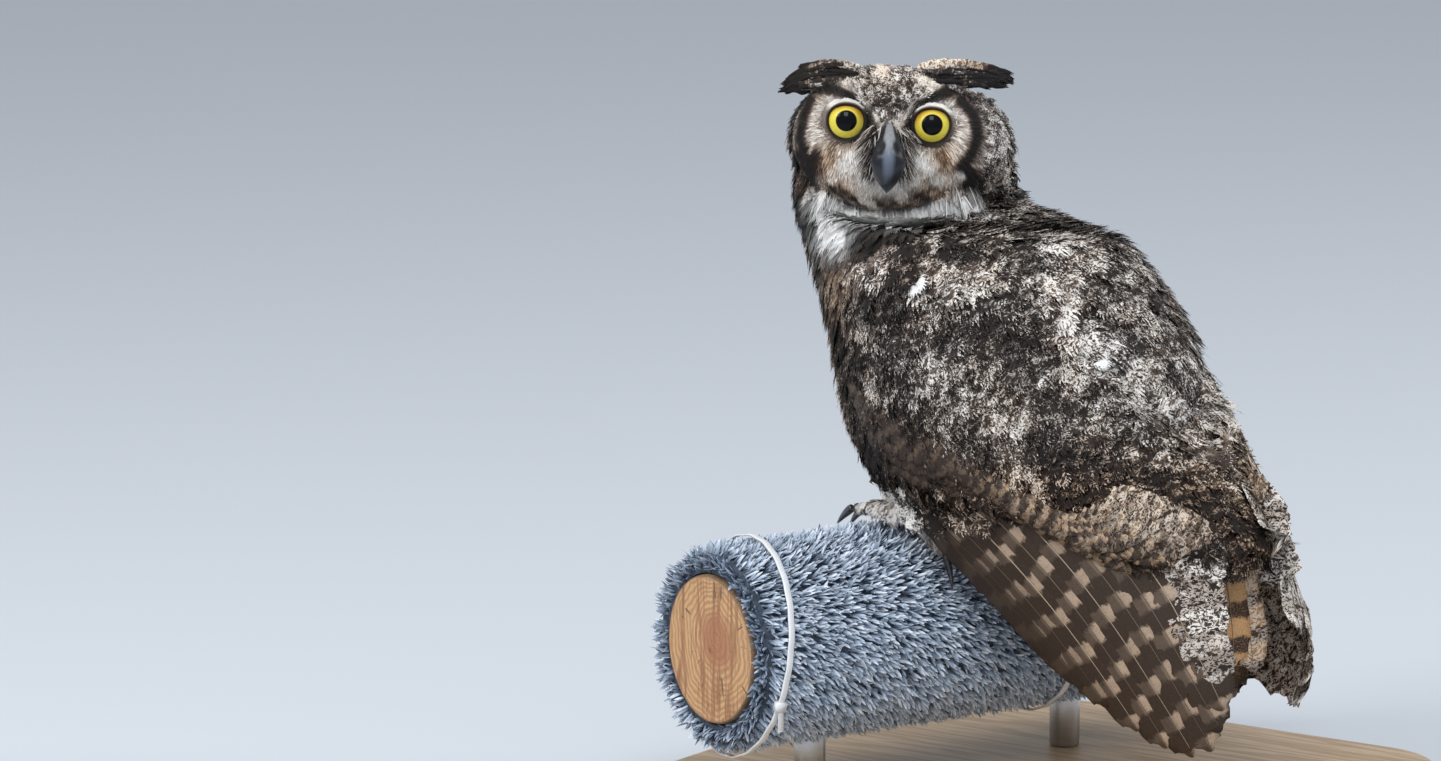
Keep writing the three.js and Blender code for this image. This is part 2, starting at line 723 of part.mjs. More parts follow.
// A point round the log: degrees from its top, towards the owl's front where positive.
function roundLog({ station, degrees, radius }) {
  const angle = radians(degrees);
  return onLog(station)
    .addScaledVector(logSide, Math.sin(angle) * radius)
    .add(vec(0, 0, Math.cos(angle) * radius));
}

// A curve round the log from one station, angle and radius to another.
function arcRoundLog(from, to) {
  const steps = 6;
  const between = (share, key) => from[key] + (to[key] - from[key]) * share;
  const points = Array.from({ length: steps + 1 }, (_, i) => {
    const share = i / steps;
    return roundLog({
      station: between(share, "station"),
      degrees: between(share, "degrees"),
      radius: between(share, "radius"),
    });
  });
  return new THREE.CatmullRomCurve3(points);
}

function toe(foot, { spread, start, end }) {
  const root = { station: foot + spread / 3, degrees: start, radius: TOE_PATH_RADIUS };
  const tip = { station: foot + spread, degrees: end, radius: TOE_PATH_RADIUS - 1 };
  const sections = [
    [0, 8.5, 8],
    [0.6, 7.2, 6.8],
    [1, 4.5, 5],
  ];
  return limb(arcRoundLog(root, tip), sections, logWay, 0, 6);
}

function talon(foot, { spread, end }, grow) {
  const way = Math.sign(end);
  const station = foot + spread;
  const root = { station, degrees: end + way * 0.6, radius: TOE_PATH_RADIUS };
  const tip = { station, degrees: end + way * TALON_CURVE, radius: TURF_RADIUS + 2 };
  const sections = [
    [0, 3.6, 4.2],
    [0.5, 2.6, 3],
    [1, 0.5, 0.6],
  ];
  return limb(arcRoundLog(root, tip), sections, logWay, grow, 6);
}

function footSolid(foot, pad, ankle) {
  const sole = ball([13, 15, 9], pad.toArray(), null, 8, 5);
  const toes = TOES.map((place) => toe(foot, place));
  const talons = TOES.map((place) => talon(foot, place, GAP));
  return joinAll([sole, ...toes]).intersect(slab(0, ankle)).subtract(joinAll(talons));
}

// The feathered shank and thigh, from the ankle up into the flank.
function legSolid(side, pad, ankle) {
  const bottom = ankle + GAP;
  const curve = bezier(
    vec(pad.x, pad.y, bottom),
    vec(pad.x, pad.y, ankle + 16),
    vec(pad.x + 18, side * 36, ankle + 26),
    vec(pad.x + 36, side * 38, ankle + 52),
  );
  const sections = [
    [0, 11, 12],
    [0.35, 15, 15],
    [0.7, 24, 22],
    [1, 30, 28],
  ];
  return limb(curve, sections, vec(0, 1, 0), 0, 14).intersect(slab(bottom, ROOM));
}

const trunkKeepOut = trunkWhole(GAP);
for (const [name, foot] of Object.entries(FOOT_STATIONS)) {
  const pad = roundLog({ station: foot, degrees: FOOT_SETBACK, radius: TOE_PATH_RADIUS + 2 });
  const ankle = pad.z + 5;
  const leg = legSolid(Math.sign(foot), pad, ankle);
  addNode(`foot_${name}`, mainBody(footSolid(foot, pad, ankle).subtract(trunkKeepOut)), PALE_PLUMAGE, 0.9);
  addNode(`leg_${name}`, mainBody(leg.subtract(trunkKeepOut)), PALE_PLUMAGE, 0.95);
  TOES.forEach((place, i) => {
    addNode(`talon_${name}_${i + 1}`, talon(foot, place, 0), HORN, 0.3);
  });
}

export default owl;
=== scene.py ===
import math

import bpy
import numpy as np
from mathutils import Matrix, Vector
from mathutils.bvhtree import BVHTree
from mathutils.kdtree import KDTree


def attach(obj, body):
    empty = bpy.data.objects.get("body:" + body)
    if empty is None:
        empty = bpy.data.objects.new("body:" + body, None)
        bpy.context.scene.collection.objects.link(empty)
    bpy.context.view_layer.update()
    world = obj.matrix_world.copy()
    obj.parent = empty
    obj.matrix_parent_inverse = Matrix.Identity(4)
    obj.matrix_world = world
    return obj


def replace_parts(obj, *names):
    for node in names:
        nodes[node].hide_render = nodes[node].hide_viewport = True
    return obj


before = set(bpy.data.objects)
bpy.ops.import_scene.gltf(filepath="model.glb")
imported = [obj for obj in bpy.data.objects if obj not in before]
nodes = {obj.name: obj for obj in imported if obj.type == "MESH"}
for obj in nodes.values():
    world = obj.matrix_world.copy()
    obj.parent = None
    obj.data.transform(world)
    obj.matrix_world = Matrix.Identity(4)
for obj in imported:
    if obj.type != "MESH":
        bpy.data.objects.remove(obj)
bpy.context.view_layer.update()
scene = bpy.context.scene
chance = np.random.default_rng(11)
mm = 0.001  # the meshes below are worked out in millimetres
print("frame loaded")


# camera, floor and light

view = {"place": (2.2021, -3.5064, 1.0342), "target": (-0.1704, -0.1182, 0.3049), "lens": 149.9}

camera = bpy.data.objects.new("camera", bpy.data.cameras.new("camera"))
camera.data.lens = view["lens"]
camera.data.sensor_width = 36
camera.data.clip_start = 0.1
camera.data.clip_end = 60
camera.location = view["place"]
looking = Vector(view["target"]) - Vector(view["place"])
camera.rotation_euler = looking.to_track_quat("-Z", "Y").to_euler()
scene.collection.objects.link(camera)
scene.camera = camera
scene.view_settings.view_transform = "Standard"

studio = {
    "world": ((0.80, 0.84, 0.90), 0.62),
    "key": dict(place=(-1.6, -2.9, 3.0), size=1.6, power=76, colour=(1.0, 0.97, 0.93)),
    "window": dict(place=(1.16, -1.95, 3.1), size=1.3, power=58, colour=(0.93, 0.97, 1.0)),
    "back": dict(place=(2.4, 2.4, 2.6), size=1.8, power=52, colour=(1.0, 0.98, 0.95)),
}

world = bpy.data.worlds.new("studio")
world.use_nodes = True
world.node_tree.nodes["Background"].inputs["Color"].default_value = (*studio["world"][0], 1)
world.node_tree.nodes["Background"].inputs["Strength"].default_value = studio["world"][1]
scene.world = world
for name in ("key", "window", "back"):
    lamp = bpy.data.lights.new(name, "AREA")
    lamp.shape = "SQUARE"
    lamp.size = studio[name]["size"]
    lamp.energy = studio[name]["power"]
    lamp.color = studio[name]["colour"]
    holder = bpy.data.objects.new(name, lamp)
    holder.location = studio[name]["place"]
    toOwl = Vector((-0.05, 0, 0.3)) - holder.location
    holder.rotation_euler = toOwl.to_track_quat("-Z", "Y").to_euler()
    scene.collection.objects.link(holder)


floorMesh = bpy.data.meshes.new("floor")
floorMesh.from_pydata([(-20, -20, -0.001), (20, -20, -0.001), (20, 20, -0.001), (-20, 20, -0.001)], [],
    [(0, 1, 2, 3)])
floor = bpy.data.objects.new("floor", floorMesh)
scene.collection.objects.link(floor)
paper = bpy.data.materials.new("paper floor")
paper.use_nodes = True
paper.node_tree.nodes["Principled BSDF"].inputs["Base Color"].default_value = (0.60, 0.64, 0.69, 1)
paper.node_tree.nodes["Principled BSDF"].inputs["Roughness"].default_value = 0.9
floorMesh.materials.append(paper)


# small tools

def unit(v):
    return v / np.maximum(np.linalg.norm(v, axis=-1, keepdims=True), 1e-9)


def ramp(low, high, x):
    t = np.clip((x - low) / (high - low), 0, 1)
    return t * t * (3 - 2 * t)


def mix(a, b, t):
    return a + (b - a) * t


def most(*parts):  # the largest of several masks
    return np.maximum.reduce(parts)


def ringAngles(count):
    return np.linspace(0, 2 * math.pi, count, endpoint=False)


def pull(group, key, width, kind=float):  # one property of a mesh's points, edges or triangles
    values = np.empty(len(group) * width, kind)
    group.foreach_get(key, values)
    return values.reshape(-1, width)


def spot(p, centre, radius):  # soft round patch, 1 in its middle
    return np.exp(-(np.linalg.norm(p - np.array(centre, float), axis=-1) / radius) ** 2)


def stripe(p, start, end, radius):  # soft band along a straight line
    start, end = np.array(start, float), np.array(end, float)
    way = end - start
    t = np.clip(((p - start) @ way) / (way @ way), 0, 1)
    gap = np.linalg.norm(p - (start + t[..., None] * way), axis=-1)
    return np.exp(-(gap / radius) ** 2)


def wander(p, size, seed):  # smooth noise from -1 to 1, features about size across
    dice = np.random.default_rng(seed)
    total = 0
    for _ in range(7):
        way = unit(dice.normal(size=3)) * 2 * math.pi / (size * dice.uniform(1.2, 2.6))
        total = total + np.sin(p @ way + dice.uniform(0, 6.28))
    return np.clip(total / 2.6, -1, 1)


def addMesh(name, points, faces, material, uv=None, extras=None):
    faces = [np.asarray(f, int) for f in faces if len(f)]
    corners = np.concatenate([f.ravel() for f in faces])
    counts = np.concatenate([np.full(len(f), f.shape[1]) for f in faces])
    mesh = bpy.data.meshes.new(name)
    mesh.vertices.add(len(points))
    mesh.vertices.foreach_set("co", (np.asarray(points, float) * mm).ravel())
    mesh.loops.add(len(corners))
    mesh.loops.foreach_set("vertex_index", corners.astype(np.int32))
    mesh.polygons.add(len(counts))
    mesh.polygons.foreach_set("loop_start", np.concatenate([[0], np.cumsum(counts)[:-1]]).astype(np.int32))
    mesh.polygons.foreach_set("use_smooth", np.ones(len(counts), bool))
    mesh.materials.append(material)
    mesh.update(calc_edges=True)
    for key, values in (extras or {}).items():
        layer = mesh.attributes.new(key, "FLOAT_VECTOR", "POINT")
        layer.data.foreach_set("vector", np.asarray(values, np.float32).ravel())
    if uv is not None:
        layer = mesh.uv_layers.new(name="OFBake")
        layer.data.foreach_set("uv", np.asarray(uv, np.float32)[corners].ravel())
    thing = bpy.data.objects.new(name, mesh)
    scene.collection.objects.link(thing)
    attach(thing, "root")
    return thing


class Heap:  # gathers many small meshes into one
    def __init__(self):
        self.points, self.faces, self.uv, self.extras, self.count = [], {}, [], {}, 0

    def add(self, points, faces, uv, **extras):
        for f in faces:
            if len(f):
                self.faces.setdefault(f.shape[1], []).append(np.asarray(f) + self.count)
        self.points.append(points)
        self.uv.append(uv)
        for key, values in extras.items():
            self.extras.setdefault(key, []).append(values)
        self.count += len(points)

    def build(self, name, material):
        faces = [np.concatenate(group) for group in self.faces.values()]
        extras = {key: np.concatenate(values) for key, values in self.extras.items()}
        thing = addMesh(name, np.concatenate(self.points), faces, material, np.concatenate(self.uv), extras)
        triangles = sum(len(f) * (f.shape[1] - 2) for f in faces)
        print(name, triangles, "triangles")
        return thing


def gridFaces(rows, columns, closed=False):  # quads over rows of points
    across = columns if closed else columns - 1
    r, c = np.meshgrid(np.arange(rows - 1), np.arange(across), indexing="ij")
    here = (r * columns + c).ravel()
    beside = (r * columns + (c + 1) % columns).ravel()
    return np.stack([here, beside, beside + columns, here + columns], axis=1)


# shader tools

def put(tree, kind, inputs=None, **settings):
    node = tree.nodes.new(kind)
    for key, value in settings.items():
        setattr(node, key, value)
    for key, value in (inputs or {}).items():
        if isinstance(value, bpy.types.NodeSocket):
            tree.links.new(value, node.inputs[key])
        else:
            node.inputs[key].default_value = value
    return node


def calc(tree, operation, a, b=0.0, c=None, clamp=False):
    inputs = {0: a, 1: b}
    if c is not None:
        inputs[2] = c
    return put(tree, "ShaderNodeMath", inputs, operation=operation, use_clamp=clamp).outputs[0]


def blend(tree, factor, a, b):
    node = put(tree, "ShaderNodeMix", None, data_type="RGBA")
    for index, value in ((0, factor), (6, a), (7, b)):
        if isinstance(value, bpy.types.NodeSocket):
            tree.links.new(value, node.inputs[index])
        else:
            node.inputs[index].default_value = value if index == 0 else (*value, 1)
    return node.outputs[2]


def between(tree, low, high, value):  # 0 below low, 1 above high
    inputs = {"Value": value, "From Min": low, "From Max": high}
    return put(tree, "ShaderNodeMapRange", inputs, interpolation_type="SMOOTHSTEP").outputs[0]


def colours(tree, factor, stops):
    node = put(tree, "ShaderNodeValToRGB", {0: factor})
    marks = node.color_ramp.elements
    while len(marks) < len(stops):
        marks.new(0.5)
    for mark, (place, colour) in zip(marks, stops):
        mark.position = place
        mark.color = (*colour, 1)
    return node.outputs[0]


def newGroup(name, inputs, outputs):
    kinds = {"f": "NodeSocketFloat", "v": "NodeSocketVector", "c": "NodeSocketColor"}
    tree = bpy.data.node_groups.new(name, "ShaderNodeTree")
    for label, kind, default in inputs:
        socket = tree.interface.new_socket(name=label, in_out="INPUT", socket_type=kinds[kind])
        socket.default_value = (*default, 1) if kind == "c" else default
    for label, kind in outputs:
        tree.interface.new_socket(name=label, in_out="OUTPUT", socket_type=kinds[kind])
    return tree, tree.nodes.new("NodeGroupInput").outputs, tree.nodes.new("NodeGroupOutput").inputs


def useGroup(tree, group, inputs):
    node = tree.nodes.new("ShaderNodeGroup")
    node.node_tree = group
    for key, value in inputs.items():
        if isinstance(value, bpy.types.NodeSocket):
            tree.links.new(value, node.inputs[key])
        elif isinstance(value, tuple) and len(value) == 3 and node.inputs[key].type == "RGBA":
            node.inputs[key].default_value = (*value, 1)
        else:
            node.inputs[key].default_value = value
    return node.outputs


def newMaterial(name, **fixed):
    material = bpy.data.materials.new(name)
    material.use_nodes = True
    tree = material.node_tree
    shader = tree.nodes["Principled BSDF"]
    for key, value in fixed.items():
        shader.inputs[key.replace("_", " ")].default_value = value
    return material, tree


def attribute(tree, name):
    return put(tree, "ShaderNodeAttribute", None, attribute_name=name).outputs["Vector"]


def apart(tree, vector):
    return put(tree, "ShaderNodeSeparateXYZ", {0: vector}).outputs


def times(tree, a, b, clamp=False):
    return calc(tree, "MULTIPLY", a, b, clamp=clamp)


def timesPlus(tree, a, b, c, clamp=False):
    return calc(tree, "MULTIPLY_ADD", a, b, c, clamp=clamp)


def position(tree):
    return put(tree, "ShaderNodeNewGeometry").outputs["Position"]


def together(tree, x, y, z):
    return put(tree, "ShaderNodeCombineXYZ", {0: x, 1: y, 2: z}).outputs[0]


def stretch(tree, vector, sizes):
    return put(tree, "ShaderNodeVectorMath", {0: vector, 1: sizes}, operation="MULTIPLY").outputs[0]


def noise(tree, vector, scale, detail, **more):
    inputs = {"Vector": vector, "Scale": scale, "Detail": detail, **more}
    return put(tree, "ShaderNodeTexNoise", inputs).outputs[0]


def wire(tree, value, socket):  # straight to the shader's own socket
    tree.links.new(value, tree.nodes["Principled BSDF"].inputs[socket])


def roughen(tree, height, strength, distance):
    inputs = {"Height": height, "Strength": strength, "Distance": distance}
    wire(tree, put(tree, "ShaderNodeBump", inputs).outputs[0], "Normal")


# short curled pale strokes across each feather, in the feather's own millimetres
waves, given, out = newGroup("vermiculation", [
    ("Plume", "v", (0, 0, 0)), ("Pitch", "f", 3.0), ("Cover", "f", 0.5)], [("Strokes", "f")])
x, y, z = apart(waves, given["Plume"])
moved = together(waves, times(waves, x, 0.7), times(waves, y, 1.15),
    times(waves, z, 97.0))
fitted = put(waves, "ShaderNodeVectorMath", {0: moved, 3: calc(waves, "DIVIDE", 1.0, given["Pitch"])},
    operation="SCALE").outputs[0]
field = noise(waves, fitted, 0.9, 1.5, Roughness=0.6, Distortion=0.6)
gap = calc(waves, "ABSOLUTE", calc(waves, "SUBTRACT", field, 0.5))
wide = timesPlus(waves, given["Cover"], 0.15, -0.012)
stroke = between(waves, calc(waves, "ADD", wide, 0.022), calc(waves, "SUBTRACT", wide, 0.022), gap)
breakUp = noise(waves, fitted, 0.42, 1.0)
broken = timesPlus(waves, calc(waves, "SUBTRACT", given["Cover"], 0.5), 0.5, breakUp)
waves.links.new(times(waves, stroke, between(waves, 0.36, 0.52, broken)), out["Strokes"])

# hair-fine barbs that leave the shaft at a slant
barbs, given, out = newGroup("barbs", [("Plume", "v", (0, 0, 0)), ("Pitch", "f", 1.1)], [("Lines", "f")])
x, y, z = apart(barbs, given["Plume"])
slant = calc(barbs, "SUBTRACT", y, times(barbs, calc(barbs, "ABSOLUTE", x), 0.9))
wave = calc(barbs, "SINE", times(barbs, calc(barbs, "DIVIDE", slant, given["Pitch"]), 2 * math.pi))
barbs.links.new(timesPlus(barbs, wave, 0.5, 0.5), out["Lines"])

# lightness, warmth and whiteness of plumage turned into its colours
dyes, given, out = newGroup("plumage colours", [
    ("Tone", "f", 0.5), ("Warm", "f", 0.2), ("White", "f", 0.0)], [("Colour", "c")])
grey = colours(dyes, given["Tone"], [
    (0.0, (0.014, 0.012, 0.011)), (0.22, (0.042, 0.033, 0.029)), (0.45, (0.130, 0.108, 0.094)),
    (0.68, (0.33, 0.29, 0.262)), (0.86, (0.60, 0.565, 0.53)), (1.0, (0.82, 0.80, 0.78))])
tawny = colours(dyes, given["Tone"], [
    (0.0, (0.015, 0.008, 0.005)), (0.25, (0.065, 0.034, 0.018)), (0.5, (0.25, 0.135, 0.065)),
    (0.75, (0.53, 0.34, 0.19)), (1.0, (0.83, 0.66, 0.47))])
colour = blend(dyes, given["Warm"], grey, tawny)
whitened = blend(dyes, given["White"], colour, (0.84, 0.84, 0.83))
dyes.links.new(whitened, out["Colour"])


def plumageMaterial(name, pitch=3.0, contrast=0.62, patches=1.0, patchSize=11.0, streak=0.10, least=0.36,
    roughness=0.78, bump=0.35):
    material, tree = newMaterial(name, Roughness=roughness, Specular_IOR_Level=0.22)
    plume = attribute(tree, "plume")
    across, down, luck = apart(tree, plume)
    tone, warm, white = apart(tree, attribute(tree, "marks"))
    place = position(tree)
    cloud = noise(tree, place, 1000 / patchSize, 3.0, Roughness=0.65)
    uneven = timesPlus(tree, calc(tree, "SUBTRACT", cloud, 0.5), patches, tone)
    lines = useGroup(tree, waves, {"Plume": plume, "Pitch": pitch,
        "Cover": calc(tree, "MAXIMUM", uneven, least)})[0]
    hair = useGroup(tree, barbs, {"Plume": plume})[0]
    lifted = timesPlus(tree, calc(tree, "SUBTRACT", lines, 0.42), contrast, uneven)
    shaft = between(tree, 1.5, 0.2, calc(tree, "ABSOLUTE", across))
    shafted = timesPlus(tree, shaft, -streak, lifted)
    fine = timesPlus(tree, calc(tree, "SUBTRACT", hair, 0.5), 0.07, shafted, clamp=True)
    snow = times(tree, white, timesPlus(tree, luck, 0.22, timesPlus(tree, cloud, 0.5, 0.55)), clamp=True)
    shade = useGroup(tree, dyes, {"Tone": fine, "Warm": warm, "White": snow})[0]
    wire(tree, shade, "Base Color")
    roughen(tree, hair, bump, 0.0004)
    return material


# where things are on the owl

headFrame = {"centre": (-110, 0, 467), "turn": 35, "pitch": 8, "roll": 2.7}
eyes = {"aside": 30, "height": 11, "depth": 30, "radius": 16}
bodyRows = {  # level: middle along the body, half depth, half width, squareness
    62: (157, 58, 54, 2.6), 85: (148, 72, 61, 2.6), 115: (129, 101, 69, 2.6), 150: (104, 126, 77, 2.5),
    190: (68, 145, 87, 2.3), 228: (44, 155, 97, 2.1), 262: (25, 153, 104, 2), 300: (9, 147, 106, 2),
    340: (-7, 139, 103, 2), 378: (-27, 133, 95, 2), 408: (-48, 128, 81, 2), 430: (-70, 115, 62, 2),
    452: (-94, 90, 48, 2)}
levels = np.array(list(bodyRows), float)
rowTable = np.array(list(bodyRows.values()), float)

headTurn = np.array(Matrix.Rotation(math.radians(headFrame["turn"]), 3, "Z")
                    @ Matrix.Rotation(math.radians(-headFrame["pitch"]), 3, "X")
                    @ Matrix.Rotation(math.radians(headFrame["roll"]), 3, "Y"))
headCentre = np.array(headFrame["centre"], float)


def toHead(p):
    return (p - headCentre) @ headTurn


def fromHead(q):
    return np.asarray(q, float) @ headTurn.T + headCentre


def bodyRow(z):
    return [np.interp(z, levels, rowTable[:, k]) for k in range(4)]


def bodySide(x, z, inset=0.0):  # half width of the folded bird at a place of its side view
    middle, depth, width, square = bodyRow(z)
    share = np.clip(np.abs(x - middle) / np.maximum(depth - inset, 4), 0, 0.999)
    return (width - inset) * (1 - share ** square) ** (1 / square)


def unwrap(p):  # round the body's own axis, and up it
    middle = bodyRow(p[:, 2])[0]
    u = np.arctan2(p[:, 1], p[:, 0] - middle) / (2 * math.pi) + 0.5
    return np.stack([np.clip(u, 0.003, 0.997), np.clip((p[:, 2] - 50) / 500, 0.003, 0.997)], axis=1)


def unwrapHead(p):
    q = toHead(p)
    u = np.arctan2(q[:, 0], -q[:, 1]) / (2 * math.pi) + 0.5
    return np.stack([np.clip(u, 0.003, 0.997), np.clip((q[:, 2] + 75) / 150, 0.003, 0.997)], axis=1)


# the skin

skin = {
    "flesh": ["head", "neck", "trunk", "wing_left", "wing_right", "leg_left", "leg_right", "foot_left",
        "foot_right"],
    "brim": [-60, -56, -50, -36], "rump": ((120, 24, 262),
        (31, 38, 36)), "voxel": 3.0, "smoothing": 5, "coat": 5.2, "faceCoat": 2.0,
    "headCoat": 3.6, "toeCoat": 1.0, "fullSides": 3.2,
}


def cadMesh(name):
    thing = nodes[name]
    turn, shift = np.array(thing.matrix_world.to_3x3()), np.array(thing.matrix_world.translation)
    thing.data.calc_loop_triangles()
    points = pull(thing.data.vertices, "co", 3) @ turn.T + shift
    return points / mm, pull(thing.data.loop_triangles, "vertices", 3, int)


fleshPoints, fleshFaces, fleshOwner, count = [], [], [], 0
for index, name in enumerate(skin["flesh"]):
    p, f = cadMesh(name)
    if name in ("neck", "trunk"):  # the throat keeps below the face
        q = toHead(p)
        under = (q[:, 1] < 14) & (q[:, 2] > -80) & (q[:, 0] > -46)
        brim = np.interp(q[:, 1], [-60, -30, 0, 14], skin["brim"])
        q[under, 2] = np.minimum(q[under, 2], brim[under])
        p = fromHead(q)
    fleshPoints.append(p)
    fleshFaces.append(f + count)
    fleshOwner += [index] * len(f)
    count += len(p)
turns = ringAngles(24)
slopes = np.linspace(0.02, math.pi - 0.02, 13)
ball = np.stack([np.outer(np.sin(slopes), np.cos(turns)), np.outer(np.sin(slopes), np.sin(turns)),
                 np.outer(np.cos(slopes), np.ones(24))], axis=-1).reshape(-1, 3)
quads = gridFaces(13, 24, closed=True)
ballFaces = np.concatenate([quads[:, [0, 2, 1]], quads[:, [0, 3, 2]], [[0, i, i + 1] for i in range(1, 23)],
                            [[288, 288 + i + 1, 288 + i] for i in range(1, 23)]])
# closes the gap between the wings
fleshPoints.append(ball * np.array(skin["rump"][1]) + np.array(skin["rump"][0]))
fleshFaces.append(ballFaces + count)
fleshOwner += [skin["flesh"].index("trunk")] * len(ballFaces)
fleshPoints, fleshFaces = np.concatenate(fleshPoints), np.concatenate(fleshFaces)
fleshTree = BVHTree.FromPolygons(fleshPoints.tolist(), fleshFaces.tolist())

draft = bpy.data.meshes.new("draft")
draft.from_pydata((fleshPoints * mm).tolist(), [], fleshFaces.tolist())
lump = bpy.data.objects.new("draft", draft)
scene.collection.objects.link(lump)
remesh = lump.modifiers.new("remesh", "REMESH")
remesh.mode = "VOXEL"
remesh.voxel_size = skin["voxel"] * mm
relax = lump.modifiers.new("relax", "SMOOTH")
relax.factor = 0.5
relax.iterations = skin["smoothing"]
remade = bpy.data.meshes.new_from_object(lump.evaluated_get(bpy.context.evaluated_depsgraph_get()))
bpy.data.objects.remove(lump)


remade.calc_loop_triangles()
outerPoints = pull(remade.vertices, "co", 3) / mm
outerNormals = pull(remade.vertex_normals, "vector", 3)
skinTris = pull(remade.loop_triangles, "vertices", 3, int)
skinEdges = pull(remade.edges, "vertices", 2, int)


def smoothOver(values, rounds):
    weight = np.zeros(len(values))
    np.add.at(weight, skinEdges.ravel(), 1)
    for _ in range(rounds):
        total = np.zeros_like(values)
        np.add.at(total, skinEdges[:, 0], values[skinEdges[:, 1]])
        np.add.at(total, skinEdges[:, 1], values[skinEdges[:, 0]])
        values = 0.5 * values + 0.5 * total / np.maximum(weight, 1)[:, None]
    return values


smoothNormals = unit(smoothOver(outerNormals, 6))
skinOwner = np.array([fleshOwner[fleshTree.find_nearest(p)[2]] for p in outerPoints.tolist()])
ownerName = np.array(skin["flesh"])[skinOwner]
q = toHead(outerPoints)
onHead = np.isin(ownerName, ["head"])
onFoot = np.isin(ownerName, ["foot_left", "foot_right"])
inFace = onHead & (q[:, 1] < -8)
coatDepth = np.full(len(outerPoints), skin["coat"])
coatDepth[onHead] = skin["headCoat"]
coatDepth[inFace] = skin["faceCoat"]
sides = ramp(38, 52, np.abs(q[:, 0])) * ramp(-8, 4, q[:, 1]) * ramp(40, 24, q[:, 2]) * onHead
coatDepth = mix(coatDepth, 1.0, sides)
coatDepth[onFoot] = skin["toeCoat"]
coatDepth = smoothOver(coatDepth[:, None], 5)[:, 0]
skinPoints = outerPoints - smoothNormals * coatDepth[:, None]

q = toHead(skinPoints)
for side in (1, -1):  # the skin stays behind the lids
    gap = np.hypot(q[:, 0] - side * eyes["aside"], q[:, 2] - eyes["height"])
    front = np.interp(gap, [0, 13, 17, 23, 30], [-34, -36.5, -38.6, -42, -60])
    near = onHead & (gap < 30)
    q[near, 1] = np.maximum(q[near, 1], front[near])
skinPoints = fromHead(q)
skinPoints = mix(skinPoints, smoothOver(skinPoints, 2), (onHead & (q[:, 1] < -10))[:, None] * 0.8)
skinFinder = KDTree(len(skinPoints))
for index, p in enumerate(skinPoints.tolist()):
    skinFinder.insert(p, index)
skinFinder.balance()
print("skin", len(skinTris), "triangles")


def onSkin(p):  # nearest place on the skin, and which way is out
    index = np.array([skinFinder.find(one)[1] for one in p.tolist()])
    out = smoothNormals[index]
    return p - np.sum((p - skinPoints[index]) * out, axis=1, keepdims=True) * out, out, index


# markings, the same on skin and coat: lightness, warmth, whiteness

def dye(tone, warm, share, toTone, toWarm):
    return mix(tone, toTone, share), mix(warm, toWarm, share)


def path(flat, points, radius):  # soft band along a bent line of the face, x and z
    total = np.zeros(len(flat))
    for start, end in zip(points[:-1], points[1:]):
        total = np.maximum(total, stripe(flat, start, end, radius))
    return total


face = {  # lines and spots in the head's own x and z
    "brows": ([(-2, 5), (-12, 19), (-20, 29), (-31, 38)], [(4, 6), (13, 20), (22, 31), (34, 41), (44, 47)]),
    "stripes": ([(-14, 13), (-19, 21), (-29, 28.5), (-40, 32.5), (-52, 33)],
        [(15, 15), (19.6, 23), (30, 30), (42, 35.5), (50, 40)]),
    "rims": ([(-55, 25), (-60, 13), (-61.5, -2), (-58, -14), (-53, -24)],
        [(50, 29), (60, 19), (62.5, 4), (58.5, -9), (52, -18)]),
    "patches": ([(-57, -18), (-59, -36), (-59, -56)], [(56, -20), (60, -27), (62, -35)]),
}


def throatWhite(q):  # the bib and the white band that runs on from it
    flat = q[:, [0, 2]]
    bib = path(flat, [(-43, -48), (-35, -58), (-32, -74)], 9.5)
    band = path(flat, [(-24, -58), (9, -60), (27, -55), (43, -48), (60, -42)], 6.5)
    ragged = 1 + 0.3 * wander(q * np.array([1, 1, 0.3]), 6, 14)
    return np.clip(1.3 * np.maximum(bib, band) * ragged, 0, 1) * ramp(40, 24, q[:, 1]) * ramp(-38, -46,
        q[:, 2] - 0.05 * q[:, 0])


